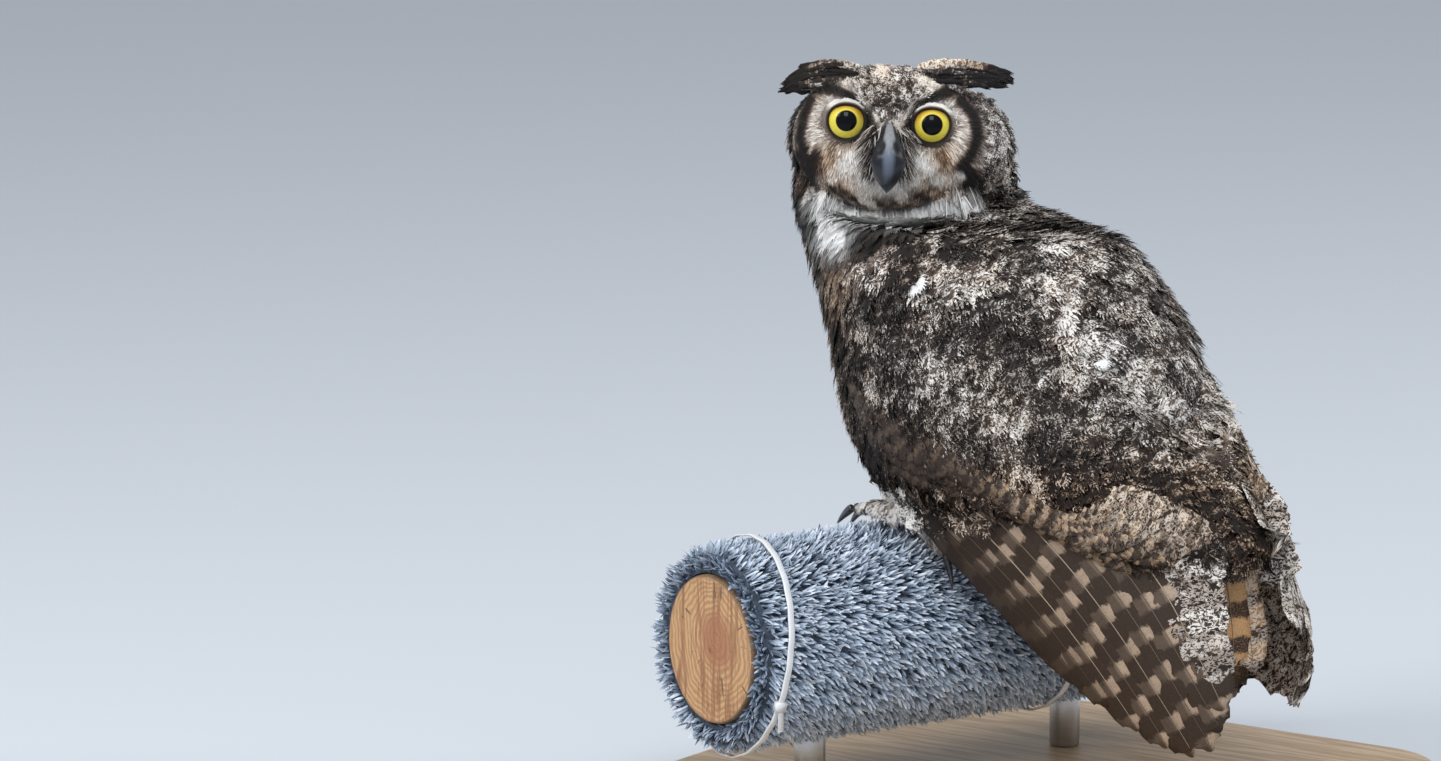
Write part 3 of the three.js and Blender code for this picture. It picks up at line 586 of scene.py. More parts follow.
def headMarks(q):
    x, y, z = q[:, 0], q[:, 1], q[:, 2]
    aside = np.abs(x)
    flat = q[:, [0, 2]]
    mirror = np.stack([aside, z], axis=1)
    fine, broad = wander(q, 5, 3), wander(q, 18, 4)
    tone = 0.46 + 0.08 * broad + 0.10 * fine  # speckled crown and nape
    warm = 0.14 + 0.10 * broad
    white = np.zeros(len(q))
    front = ramp(8, -8, y)
    rimShare = np.hypot(aside / 61, (z + 3) / 47)
    disc = ramp(1.06, 0.94, rimShare) * front
    brow = ramp(-3, 3, (4 + aside * 1.05) - z)  # 1 below the line of the brows
    plain = disc * brow
    tone, warm = dye(tone, warm, plain, 0.78 + 0.06 * fine, 0.22)
    eyeGap = np.hypot(aside - 30, z - 11)
    # dusky under the eye
    tone = mix(tone, 0.50, plain * np.exp(-((eyeGap - 16) / 3.0) ** 2) * ramp(10, -5, z - 11))
    lid = np.exp(-((eyeGap - 15.0) / 2.6) ** 2) * ramp(15, 20, z) * plain
    tone, warm = dye(tone, warm, lid, 0.92, 0.0)
    white = np.maximum(white, 0.35 * lid)
    cheek = most(spot(flat, (-43, -18), 11), spot(flat, (40, -14), 10),
                 spot(flat, (-29, -41), 9), spot(flat, (34, -36), 10)) * front
    tone, warm = dye(tone, warm, cheek, 0.48 + 0.22 * fine, 0.72)
    lores = path(mirror, [(12, -8), (21, -14), (30, -20)], 5.2) * front
    white = np.maximum(white, 0.62 * lores)
    chin = np.maximum(spot(mirror, (10, -29), 11), spot(mirror, (0, -36), 8)) * front
    white = np.maximum(white, 0.55 * chin)
    # round the base of the bill
    dusk = np.maximum(spot(mirror, (12, 7), 5), spot(mirror, (8.5, -5), 5)) * front
    tone = mix(tone, 0.30, 0.75 * dusk)
    corner = spot(mirror, (16.2, 4.5), 4.4) * front
    tone = mix(tone, 0.02, corner)
    warm = warm * (1 - 0.6 * dusk)
    rims = np.maximum(path(flat, face["rims"][0], 2.7), path(flat, face["rims"][1], 3.4)) * ramp(22, 8, y)
    patches = np.maximum(path(flat, face["patches"][0], 9.5), path(flat, face["patches"][1], 7)) * ramp(46,
        28, y)
    stripes = np.maximum(path(flat, face["stripes"][0], 3.4),
        path(flat, face["stripes"][1], 3.8)) * ramp(12, -6, y)
    black = most(rims, patches * ramp(-0.6, 0.1, wander(q, 7, 12) + 0.2), stripes)
    brows = np.maximum(path(flat, face["brows"][0], 2.5), path(flat, face["brows"][1], 2.5)) * front
    tone, warm = dye(tone, warm, brows, 0.72 + 0.22 * fine, 0.30)
    white = np.maximum(white, 0.12 * brows)
    forehead = ramp(2, 10, z - (6 + aside * 1.2)) * ramp(10, -20, y) * (1 - brows)
    tone = mix(tone, 0.45 + 0.12 * fine, forehead)
    buff = most(*(spot(flat, place, 6) for place in ((-6, 46), (26, 43), (34, 46)))) * ramp(20, -5, y)
    tone, warm = dye(tone, warm, buff, 0.84, 0.62)
    # dusky band under the chin
    throat = path(flat, [(-36, -40), (-24, -45), (1, -49), (20, -44), (32, -39)], 7.5)
    throat = throat * ramp(10, -6, y) * ramp(-0.75, 0.0, wander(q, 9, 23))
    tone, warm = dye(tone, warm, throat, 0.15 + 0.26 * fine, 0.36)
    white = white * (1 - 0.9 * throat)
    side = ramp(4, 24, y) * ramp(34, 4, z)  # side of the neck, blotched brown on buff
    blotch = ramp(-0.15, 0.35, wander(q, 13, 9))
    tone = mix(tone, mix(0.34, 0.70, blotch), 0.85 * side)
    warm = mix(warm, 0.36, side)
    line = path(flat, [(24, -32), (38, -29), (54, -23)], 2.4) * ramp(14, 0, y)
    white = np.maximum(white, 0.95 * line * ramp(-0.7, 0.2, wander(q, 6, 21)))
    white = np.maximum(white, throatWhite(q))
    greySide = ramp(0.98, 1.08, np.hypot(aside / 61, (z + 3) / 50)) * ramp(-22, -8, z) * ramp(30, 18, z)
    tone = mix(tone, 0.50 + 0.16 * fine, greySide)  # mottled grey beside the rims
    warm = mix(warm, 0.10, greySide)
    tone = mix(tone, 0.015, np.clip(black * 1.7, 0, 1) * (1 - 0.8 * brows))
    warm = warm * (1 - 0.8 * black)
    return np.stack([tone, np.clip(warm, 0, 1), np.clip(white * (1 - black), 0, 1)], axis=1)


def bodyMarks(p):
    mirror = np.stack([p[:, 0], -np.abs(p[:, 1]), p[:, 2]], axis=1)
    broad, mid, fine = wander(p, 46, 5), wander(p, 20, 6), wander(p, 8, 7)
    middle, depth, width, _ = bodyRow(p[:, 2])
    forward = (middle - p[:, 0]) / depth  # 1 on the breast, -1 on the back
    tone = 0.45 + 0.06 * broad + 0.10 * mid + 0.06 * fine
    warm = 0.12 + 0.10 * mid
    light = most(stripe(mirror, (20, -86, 374), (106, -48, 338), 14),
                 stripe(mirror, (-20, -60, 405), (60, -30, 412), 14) * 0.7,
                 stripe(mirror, (-70, -90, 350), (-30, -95, 330), 12) * 0.5,
                 stripe(mirror, (120, -50, 320), (180, -14, 256), 18) * 0.9)
    tone = tone + 0.16 * light
    dark = most(stripe(mirror, (-58, -92, 362), (66, -76, 352), 12),
                stripe(mirror, (-14, -80, 402), (40, -60, 404), 9),
                stripe(mirror, (70, -50, 372), (118, -14, 340), 10) * 0.7,
                stripe(mirror, (-36, -80, 395), (-30, -92, 375), 9))
    tone = tone - 0.19 * dark
    edge = ramp(0.42, 0.72, forward) * ramp(372, 345, p[:, 2])  # blackish front edge of the wing
    edge = np.maximum(edge, ramp(10, -30, p[:, 0]) * ramp(310, 270, p[:, 2]))
    tone = mix(tone, 0.13 + 0.09 * fine, 0.92 * edge)
    warm = mix(warm, 0.25, edge)
    lower = ramp(300, 240, p[:, 2]) * ramp(0.95, 0.4, forward) * ramp(-40, 50, p[:, 0])
    warm = warm + 0.42 * lower
    tone = tone - 0.13 * lower
    breast = ramp(0.45, 0.72, forward) * ramp(352, 385, p[:, 2])
    breast = np.maximum(breast, ramp(386, 400, p[:, 2]) * ramp(0.22, 0.42, forward))
    blotch = ramp(-0.05, 0.35, wander(p, 13, 8))
    tone, warm = dye(tone, warm, breast, mix(0.06, 0.62, blotch), 0.24 + 0.2 * mid)
    wrist = spot(p, (-100, -76, 366), 20) * ramp(394, 382, p[:, 2])
    tone, warm = dye(tone, warm, wrist, 0.58 + 0.12 * fine, 0.55)
    belly = ramp(0.80, 0.50, np.abs(p[:, 1]) / np.maximum(width, 1) + 0.4 * (1 - forward)) * ramp(360, 330,
        p[:, 2])
    tone, warm = dye(tone, warm, belly, 0.60, 0.45)
    foot = ramp(238, 226, p[:, 2]) * ramp(-18, -34, p[:, 0])
    tone, warm = dye(tone, warm, foot, 0.74 + 0.08 * fine, 0.02)
    amber = np.maximum(stripe(mirror, (64, -78, 360), (90, -70, 346), 3.0),
        stripe(p, (-15, -39, 433), (41, -12, 428), 4.5))
    tone, warm = dye(tone, warm, amber, 0.62, 0.95)
    cream = spot(p, (-2, -12, 435), 13)
    tone, warm = dye(tone, warm, cream, 0.76, 0.38)
    q = toHead(p)
    pale = throatWhite(q)
    under = path(q[:, [0, 2]], [(-20, -72), (-2, -74), (16, -70)], 12)  # black blotches below the bib
    under = under * ramp(30, 10, q[:, 1]) * (0.4 + 0.6 * ramp(-0.35, 0.1, wander(p, 9, 15)))
    tone = mix(tone, 0.03, np.clip(1.7 * under, 0, 1))
    sideNeck = path(q[:, [0, 2]], [(-60, -44), (-55, -64)], 8.5) * ramp(46, 28, q[:, 1])
    tone = mix(tone, 0.08 + 0.06 * fine, sideNeck)
    pale = pale * (1 - sideNeck)
    tone = mix(tone, 0.03, spot(p, (-43, -92, 383), 7))
    return np.stack([np.clip(tone, 0.04, 0.95), np.clip(warm, 0, 1), np.clip(pale, 0, 1)], axis=1)


def headMarksAt(p):
    return headMarks(toHead(p))


# which way the plumage lies

def headLie(p):
    q = toHead(p)
    x, y, z = q[:, 0], q[:, 1], q[:, 2]
    side = np.where(x > 0, 1.0, -1.0)
    aside = np.abs(x)
    zero = np.zeros(len(q))
    radial = unit(np.stack([side * (aside - 30), zero, z - 11], axis=1))
    crown = unit(np.stack([side * 0.25, zero + 1.0, zero + 0.25], axis=1))
    brow = unit(np.stack([side * 0.72, zero + 0.2, zero + 0.70], axis=1))
    chin = unit(np.stack([side * 0.30 * aside / 20, zero + 0.2, zero - 1.0], axis=1))
    lores = unit(np.stack([side * (0.3 + aside / 16), zero + 0.4, -0.9 + zero], axis=1))
    hind = unit(np.stack([side * 0.25, zero + 0.8, zero - 0.75], axis=1))
    way = radial
    way = mix(way, chin, (ramp(26, 10, aside) * ramp(-14, -26, z))[:, None])
    way = mix(way, lores, (ramp(19, 10, aside) * ramp(8, 0, z) * ramp(-34, -24, z))[:, None])
    nearBrow = np.exp(-((z - (4 + aside * 1.05)) / 7) ** 2) * ramp(50, 40, aside)
    way = mix(way, brow, nearBrow[:, None])
    over = ramp(3, 9, z - (4 + aside * 1.05))
    over = np.maximum(over, ramp(-6, 10, y) * ramp(5, 25, z))
    way = mix(way, crown, over[:, None])
    back = ramp(-2, 10, y) * ramp(38, 15, z)
    way = mix(way, hind, back[:, None])
    hang = unit(np.stack([x * 0.012, zero - 0.35, zero - 1.0], axis=1))
    way = mix(way, hang, (ramp(-40, -48, z) * ramp(34, 20, y))[:, None])
    return unit(way) @ headTurn.T


def bodyLie(p):
    middle, depth = bodyRow(p[:, 2])[:2]
    forward = (middle - p[:, 0]) / depth
    side = np.broadcast_to(unit(np.array([0.77, 0, -0.64])), p.shape)
    back = np.broadcast_to(unit(np.array([0.52, 0, -0.85])), p.shape)
    breast = np.broadcast_to(unit(np.array([0.22, 0, -1.0])), p.shape)
    way = mix(side, back, ramp(0.1, -0.8, forward)[:, None])
    way = mix(way, breast, ramp(0.35, 0.85, forward)[:, None])
    q = toHead(p)
    throat = ramp(20, -5, q[:, 1]) * ramp(-110, -70, q[:, 2]) * ramp(75, 45, np.abs(q[:, 0]))
    hang = unit(np.stack([q[:, 0] * 0.012, np.full(len(q), -0.15), np.full(len(q), -1.0)],
        axis=1)) @ headTurn.T
    way = mix(unit(way), hang, throat[:, None])
    return unit(way)


# feathers drawn once and laid many times

def softFeather(seed, barbCount=12, sizeMm=(24, 6.5), barbLength=6.5, barbWidth=1.7):
    # s runs down the shaft, w across as a share of the half width, h is the lift
    dice = np.random.default_rng(seed)
    rows = [(0.0, 0.35), (0.28, 0.85), (0.55, 1.0), (0.80, 0.80)]
    columns = np.array([-1, -0.38, 0.38, 1])
    s = np.repeat([row[0] for row in rows], 4).astype(float)
    w = np.concatenate([columns * row[1] for row in rows])
    s[12:] -= np.array([0.10, 0, 0, 0.10])
    h = -0.9 * w ** 2 * (0.4 + s)
    s, w, h, tip = list(s), list(w), list(h), [0.0] * len(s)
    quads, tris = list(gridFaces(4, 4)), []
    long, half = sizeMm
    for b in range(barbCount):
        q = (2 * (b + 0.5) / barbCount - 1) + dice.normal() * 0.03
        reach = abs(q)
        if reach < 0.5:
            rs, rw = 0.80 - 0.28 * (reach / 0.5) ** 2 * 0.35, q / 0.5 * 0.62
        else:
            rs, rw = 0.70 - (reach - 0.5) / 0.5 * 0.40, math.copysign(0.80, q)
        angle = math.radians(68) * math.copysign(reach ** 1.2, q) + dice.normal() * 0.14
        size = barbLength * (1 - 0.35 * reach) * dice.uniform(0.65, 1.25)
        along, across = math.cos(angle), math.sin(angle)
        bend = -math.copysign(0.35, q) * dice.uniform(0.4, 1.2)
        base = len(s)
        lift = dice.uniform(-0.5, 1.6)
        for share, wide in ((0.0, barbWidth), (0.55, barbWidth * 0.7)):
            for edge in (-0.5, 0.5):
                ds = size * share * along - edge * wide * across
                dw = size * share * across + edge * wide * along
                s.append(rs + ds / long)
                w.append(rw + dw / half)
                h.append(-0.5 * rw * rw + lift * share ** 2)
                tip.append(share * 0.6)
        s.append(rs + size * math.cos(angle + bend * 0.5) / long)
        w.append(rw + size * math.sin(angle + bend * 0.5) / half)
        h.append(-0.4 * rw * rw + lift)
        tip.append(1.0)
        quads.append(np.array([base, base + 1, base + 3, base + 2]))
        tris.append(np.array([base + 2, base + 3, base + 4]))
    return {"s": np.array(s), "w": np.array(w), "h": np.array(h), "tip": np.array(tip),
            "faces": [np.array(quads), np.array(tris)]}


def hairFeather(bend=0.0, wide=1.0):
    s = np.array([0, 0, 0.4, 0.4, 0.75, 0.75, 1.0])
    w = np.array([-0.6, 0.6, -1, 1, -0.7, 0.7, 0]) * wide
    h = bend * s ** 2
    return {"s": s, "w": w, "h": h, "tip": s, "faces": [gridFaces(3, 2), np.array([[4, 5, 6]])]}


featherPatch = 0.0013  # half size of a small feather's patch on the bake
drawnHalf = 6.5  # half width that the templates' lift is drawn for


# a template laid as many feathers
def addCopies(heap, template, points, marks, width, length, luck, uvRoot):
    s, w = template["s"][:, None], template["w"][:, None]
    plume = np.stack([w * width[None], s * length[None], 0 * s + luck[None]], axis=-1)
    uv = uvRoot[None] + np.concatenate([w, s - 0.5], axis=1)[:, None] * featherPatch
    order = lambda a: np.swapaxes(a, 0, 1).reshape(-1, a.shape[-1])
    shift = (np.arange(len(width)) * len(s))[:, None, None]
    faces = [(f[None] + shift).reshape(-1, f.shape[1]) for f in template["faces"]]
    heap.add(order(points), faces, np.clip(order(uv), 0, 1), plume=order(plume), marks=order(marks))


def layFeathers(heap, at, lie, length, width, lift, templates, marker, unwrapper, turn=0.12, steps=3,
    rise=0.85, tipLight=0.0, markAt=0.8, vary=0.14):
    count = len(at)
    spotNow, out, _ = onSkin(at)
    way = lie(spotNow)
    way = unit(way - np.sum(way * out, axis=1, keepdims=True) * out)
    sideways = np.cross(out, way)
    swing = chance.normal(size=count) * turn
    way = way * np.cos(swing)[:, None] + sideways * np.sin(swing)[:, None]
    uvRoot = unwrapper(spotNow)
    places, ups, ways = [spotNow], [out], [way]
    for _ in range(steps):
        spotNow, out, _ = onSkin(spotNow + way * (length / steps)[:, None])
        way = unit(way - np.sum(way * out, axis=1, keepdims=True) * out)
        places.append(spotNow)
        ups.append(out)
        ways.append(way)
    places, ups, ways = np.stack(places), np.stack(ups), np.stack(ways)
    luck = chance.random(count)
    height = lift * (1 + 0.18 * chance.normal(size=count))
    kind = chance.integers(0, len(templates), count)
    for index, template in enumerate(templates):
        mine = np.where(kind == index)[0]
        if not len(mine):
            continue
        s, w, h, tip = template["s"], template["w"], template["h"], template["tip"]
        k = np.clip((s * steps).astype(int), 0, steps - 1)
        t = (s * steps - k)[:, None, None]
        pick = np.ix_(k, mine)
        after = np.ix_(k + 1, mine)
        line = places[pick] * (1 - t) + places[after] * t
        up = unit(ups[pick] * (1 - t) + ups[after] * t)
        along = unit(ways[pick] * (1 - t) + ways[after] * t)
        across = np.cross(up, along)
        raised = 0.35 + height[mine][None] * (np.clip(s, 0, 1.3) ** rise)[:, None]
        raised = raised + h[:, None] * (width[mine] / drawnHalf)[None]
        points = line + across * (w[:, None] * width[mine][None, :])[..., None] + up * raised[..., None]
        if markAt is None:
            marks = marker(points.reshape(-1, 3)).reshape(len(s), len(mine), 3)
        else:
            marks = np.repeat(marker(line[np.abs(s - markAt).argmin()])[None], len(s), axis=0)
        lively = np.clip(marks[..., 0] * 3, 0.15, 1)  # black stays black
        change = tipLight * tip[:, None] + vary * (luck[mine][None] - 0.5)
        marks[..., 0] = np.clip(marks[..., 0] + lively * change, 0, 1)
        addCopies(heap, template, points, marks, width[mine], length[mine], luck[mine], uvRoot[mine])


def scatter(where, spacing, copies=1, jitter=0.0):  # skin points no closer than spacing
    chosen = np.where(where)[0]
    if copies > 1:
        index = np.repeat(chosen, copies)
        offset = chance.normal(size=(len(index), 3)) * jitter
        out = smoothNormals[index]
        offset -= np.sum(offset * out, axis=1, keepdims=True) * out
        return skinPoints[index] + offset
    blocked = np.zeros(len(skinPoints), bool)
    kept = []
    for index in chance.permutation(chosen).tolist():
        if blocked[index]:
            continue
        kept.append(index)
        for _, other, _ in skinFinder.find_range(skinPoints[index], spacing):
            blocked[other] = True
    return skinPoints[kept] + chance.normal(size=(len(kept), 3)) * spacing * 0.12


plumage = plumageMaterial("barred plumage", pitch=2.5, patches=0.78)
crownPlumage = plumageMaterial("crown plumage", pitch=1.7, patches=0.6, patchSize=5.0, streak=0.0)
tuftPlumage = plumageMaterial("tuft plumage", pitch=1.7, contrast=0.5, patches=0.35, patchSize=5.0,
    streak=0.05, least=0.12)
softPlumage = plumageMaterial("soft plumage", pitch=3.6, contrast=0.25, patches=0.45)
facePlumage = plumageMaterial("face plumage", pitch=5.0, contrast=0.06, patches=0.25, patchSize=5.0,
    streak=0.0, roughness=0.85, bump=0.15)

softOnes = [softFeather(seed) for seed in range(8)]
whiskers = [hairFeather(bend, wide) for bend, wide in ((0.3, 1), (1.2, 0.8), (-0.4, 1.1), (2.0, 0.7))]

# skin object, coloured by the same markings
skinMarks = np.where(onHead[:, None], headMarksAt(skinPoints), bodyMarks(skinPoints))
skinMarks[:, 0] *= 0.75
skinPlume = np.stack([skinPoints[:, 0] * 0.8, -skinPoints[:, 2], np.zeros(len(skinPoints))], axis=1)
skinUv = np.where(onHead[:, None], unwrapHead(skinPoints), unwrap(skinPoints))

eyeRing = {"around": 56, "rings": [(12.4, -40.2), (12.7, -41.2), (13.4, -41.7), (14.6, -41.2),
    (16.4, -38.8), (18.5, -34.0)]}


def lidRing(side):
    turns = ringAngles(eyeRing["around"])
    points, tones = [], []
    top = np.clip(np.sin(turns), 0, 1)
    inner = np.clip(-side * np.cos(turns) - 0.35 * np.sin(turns), 0, 1)
    for index, (radius, front) in enumerate(eyeRing["rings"]):
        squeeze = 1 - (0.15, 0.14, 0.12, 0.06, 0.02, 0)[index] * top ** 2
        rim = eyeRing["rings"][0][0]
        # the lid rides over the ball
        bulge = np.sqrt(256 - (rim * squeeze) ** 2) - math.sqrt(256 - rim ** 2)
        fold = 0.9 * math.exp(-((index - 3) / 1.0) ** 2) * top + bulge * (1.15, 1.1, 1, 0.8, 0.4, 0)[index]
        points.append(np.stack([side * eyes["aside"] + radius * np.cos(turns), front - fold,
                                eyes["height"] + radius * squeeze * np.sin(turns)], axis=1))
        plain = (0.02, 0.02, 0.08, 0.40, 0.50, 0.5)[index]
        shade = mix(plain, (0.02, 0.02, 0.10, 0.86, 0.92, 0.8)[index], ramp(0.35, 0.75, top))
        tones.append(shade * (1 - 0.85 * ramp(0.45, 0.9, inner)))
    return fromHead(np.concatenate(points)), np.concatenate(tones)


lids, lidTones = [], []
for side in (1, -1):
    p, tones = lidRing(side)
    lids.append(p)
    lidTones.append(tones)
lidFaces = gridFaces(len(eyeRing["rings"]), eyeRing["around"], closed=True)
lidCount = len(lids[0])
start = len(skinPoints)
allPoints = np.concatenate([skinPoints, *lids])
lidQuads = np.concatenate([lidFaces + start, lidFaces + start + lidCount])
lidMarks = np.stack([np.concatenate(lidTones), np.full(2 * lidCount, 0.1), np.zeros(2 * lidCount)], axis=1)
lidPlume = np.concatenate(lids)
skinObject = addMesh("skin", allPoints, [skinTris, lidQuads],
    plumageMaterial("skin under the coat", contrast=0.2, patches=0.4, streak=0.0, bump=0.2),
    np.concatenate([skinUv, unwrapHead(np.concatenate(lids))]),
    {"plume": np.concatenate([skinPlume, lidPlume]), "marks": np.concatenate([skinMarks, lidMarks])})
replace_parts(skinObject, *skin["flesh"])

# the coat, region by region: spacing, length, half width and rise in mm

headQ = toHead(skinPoints)
discShare = np.hypot(np.abs(headQ[:, 0]) / 61, (headQ[:, 2] + 3) / 47)
belowBrow = headQ[:, 2] < 5 + np.abs(headQ[:, 0]) * 1.05
faceZone = onHead & (headQ[:, 1] < 2) & (discShare < 1.04) & belowBrow
eyeGap = np.hypot(np.abs(headQ[:, 0]) - 30, headQ[:, 2] - 11)
inSocket = onHead & (headQ[:, 1] < 0) & (eyeGap < 13.5)
billZone = onHead & (np.abs(headQ[:, 0]) < 6) & (headQ[:, 1] < -20) & (headQ[:, 2] < 4) & (
    headQ[:, 2] > -28)
crownZone = onHead & ~faceZone
forwardness = (bodyRow(skinPoints[:, 2])[0] - skinPoints[:, 0]) / bodyRow(skinPoints[:, 2])[1]
isNeck = ownerName == "neck"
isTrunk = ownerName == "trunk"
isLeg = np.isin(ownerName, ["leg_left", "leg_right"])
bibShare = bodyMarks(skinPoints)[:, 2]
throatZone = onHead & (headQ[:, 1] < 34) & (headQ[:, 2] < -40 + 0.05 * headQ[:, 0]) & (
    throatWhite(headQ) > 0.25)
crownZone = crownZone & ~throatZone
wingArc = np.array([(-52, 250), (-30, 243), (10, 240), (60, 232), (107, 216), (141, 202), (166, 205),
    (186, 222)], float)
turned = np.where(ownerName == "wing_right", 0.114, 0.0) * (skinPoints[:, 0] + 16)
aboveArc = skinPoints[:, 2] - turned - np.interp(skinPoints[:, 0], wingArc[:, 0], wingArc[:, 1])
facesOut = smoothNormals[:, 1] * np.where(ownerName == "wing_right", 1, -1) > 0.2
overCoverts = (aboveArc < 30 + 4 * wander(skinPoints, 14, 31)) & (skinPoints[:, 0] > -60) & facesOut
bibZone = (isNeck | isTrunk) & (bibShare > 0.35)
breastZone = (isNeck | isTrunk) & ~bibZone & (
    (forwardness > 0.55) | ((skinPoints[:, 2] > 385) & (forwardness > 0.1)))
mantleZone = (isNeck | isTrunk) & ~bibZone & ~breastZone

# piece, where, material, templates, spacing, length, half width, rise, swing, unwrap, light tips, variety
regions = [
    ("coat_face", faceZone & ~inSocket & ~billZone, facePlumage, whiskers, None, 10.0, 0.62, 2.4, 0.20,
        unwrapHead, 0.12, 0.42),
    ("coat_crown", crownZone & ~inSocket, crownPlumage, softOnes, 2.7, 10.5, 3.0, 2.6, 0.22, unwrapHead,
        0.10, 0.24),
    ("coat_throat", throatZone, softPlumage, softOnes, 2.6, 15.0, 2.8, 4.6, 0.30, unwrapHead, 0.0, 0.2),
    ("coat_bib", bibZone, softPlumage, softOnes, 3.0, 19.0, 3.4, 6.0, 0.24, unwrap, 0.0, 0.2),
    ("coat_breast", breastZone, softPlumage, softOnes, 3.9, 21.0, 4.4, 6.0, 0.22, unwrap, 0.14, 0.3),
    ("coat_mantle", mantleZone, plumage, softOnes, 4.6, 25.0, 6.2, 6.2, 0.22, unwrap, 0.10, 0.26),
    ("coat_wing_left", (ownerName == "wing_left") & ~overCoverts, plumage, softOnes, 3.9, 21.0, 5.6, 5.2,
        0.24, unwrap, 0.10, 0.26),
    ("coat_wing_right", (ownerName == "wing_right") & ~overCoverts, plumage, softOnes, 4.6, 24.0, 6.4, 5.6,
        0.22, unwrap, 0.10, 0.26),
    ("coat_legs", isLeg, softPlumage, softOnes, 4.4, 16.0, 4.4, 4.0, 0.25, unwrap, 0.1, 0.2),
    ("coat_feet", onFoot, softPlumage, softOnes, 3.2, 7.0, 2.2, 1.2, 0.25, unwrap, 0.1, 0.2),
]


for name, where, material, templates, spacing, long, half, rise, swing, unwrapper, tipLight, vary in regions:
    isHead = name in ("coat_face", "coat_crown", "coat_throat")
    at = scatter(where, spacing) if spacing else scatter(where, 2, copies=10, jitter=1.6)
    heap = Heap()
    size = chance.normal(1, 0.12, len(at))
    rises = np.full(len(at), rise)
    if name == "coat_crown":  # fuller at the sides of the head
        q = toHead(at)
        full = ramp(40, 56, np.abs(q[:, 0])) * ramp(-6, 6, q[:, 1]) * ramp(38, 22, q[:, 2])
        rises = rises + skin["fullSides"] * full
        size = size * (1 + 0.2 * full)
    lie, marker = (headLie, headMarksAt) if isHead else (bodyLie, bodyMarks)
    layFeathers(heap, at, lie, long * size, half * size * chance.normal(1, 0.1, len(at)), rises,
        templates, marker, unwrapper, turn=swing, tipLight=tipLight, vary=vary,
        markAt=None if name == "coat_face" else 0.8)
    heap.build(name, material)


# a ragged curtain that hangs free from the lower edge of the face
curtain = {"soft": 420, "hairs": 1800, "edge": (0.97, 1.18), "length": 19.0, "hairLength": 18.0}


def hangFeathers(heap, roots, ways, ups, length, width, templates):
    kind = chance.integers(0, len(templates), len(roots))
    luck = chance.random(len(roots))
    for index, template in enumerate(templates):
        mine = np.where(kind == index)[0]
        s, w, h, tip = (template[key][:, None] for key in ("s", "w", "h", "tip"))
        across = np.cross(ups[mine], ways[mine])[None]
        along, up = ways[mine][None], ups[mine][None]
        long, half = length[mine][None], width[mine][None]
        bow = 1.6 * np.sin(np.clip(s, 0, 1) * 2.2) + h * half / drawnHalf
        points = roots[mine][None] + along * (s * long)[..., None] + across * (w * half)[...,
            None] + up * bow[..., None]
        marks = headMarksAt(points.reshape(-1, 3)).reshape(len(s), len(mine), 3)
        ends = headMarksAt(roots[mine] + ways[mine] * (0.62 * length[mine])[:, None])
        # each tip keeps one colour to its end
        marks = mix(marks, ends[None], ramp(0.25, 0.45, s)[..., None])
        marks[..., 0] = np.clip(marks[..., 0] + 0.3 * (luck[mine][None] - 0.5) + 0.1 * tip, 0, 1)
        addCopies(heap, template, points, marks, width[mine], length[mine], luck[mine],
            unwrapHead(roots[mine]))


chinEdge = np.where(onHead & (discShare > curtain["edge"][0]) & (discShare < curtain["edge"][1])
                    & (headQ[:, 2] < -33 + 0.05 * headQ[:, 0]) & (headQ[:, 1] < 14) & (
                        headQ[:, 0] > -50) & (headQ[:, 0] < 64))[0]
heap = Heap()
for number, templates, long, half in ((curtain["soft"], softOnes, curtain["length"], 3.4),
    (curtain["hairs"], whiskers, curtain["hairLength"], 0.55)):
    pick = chance.choice(chinEdge, number)
    roots = skinPoints[pick] + chance.normal(size=(number, 3)) * 1.4
    aside = headQ[pick, 0]
    ways = np.stack([aside * 0.004 + 0.2 * chance.normal(size=number),
        -0.22 + 0.12 * chance.normal(size=number), -np.ones(number)], axis=1)
    ups = np.stack([aside * 0.014, -np.ones(number), 0 * aside], axis=1)
    ways, ups = unit(ways), unit(ups)
    ups = unit(ups - np.sum(ups * ways, axis=1, keepdims=True) * ways)
    hangFeathers(heap, roots, ways @ headTurn.T, ups @ headTurn.T, long * chance.uniform(0.55, 1.4, number),
                 half * chance.uniform(0.8, 1.2, number), templates)
heap.build("coat_chin", softPlumage)
print("coat laid")


# scapulars: a raised row of bigger feathers whose tips make the edge over the wing

scapulars = {"white": (((-31, -93, 391), 19.0, 5.4, 11.5), ((101, -63, 345), 14.0, 4.6, 9.5)),
    "edge": [(-40, -92, 388), (-21, -93, 380), (30, -86, 366), (77, -76, 354), (105, -62, 335),
    (124, -58, 313), (156, -39, 280), (186, -40, 222)], "rows": ((0, 9.0), (11, 8.0), (22, 7.0)),
    "apart": 8.5, "length": 32, "halfWidth": 9.0}
rowEdge = np.array(scapulars["edge"], float)
edgeRun = np.concatenate([[0], np.cumsum(np.linalg.norm(np.diff(rowEdge, axis=0), axis=1))])
heap = Heap()
for mirrorSign in (1, -1):
    for setback, rise in scapulars["rows"]:
        count = int(edgeRun[-1] / scapulars["apart"])
        along = (np.arange(count) + chance.uniform(0, 0.8, count)) * scapulars["apart"]
        tips = np.stack([np.interp(along, edgeRun, rowEdge[:, k]) for k in range(3)], axis=1)
        tips = onSkin(tips * np.array([1, mirrorSign, 1]))[0]
        lieNow = bodyLie(tips)
        roots = tips - lieNow * (scapulars["length"] + setback)
        size = chance.normal(1, 0.10, count)
        layFeathers(heap, roots, bodyLie, scapulars["length"] * size, scapulars["halfWidth"] * size,
                    np.full(count, rise), softOnes, bodyMarks, unwrap,
                    turn=0.12, steps=4, tipLight=0.12, vary=0.3)
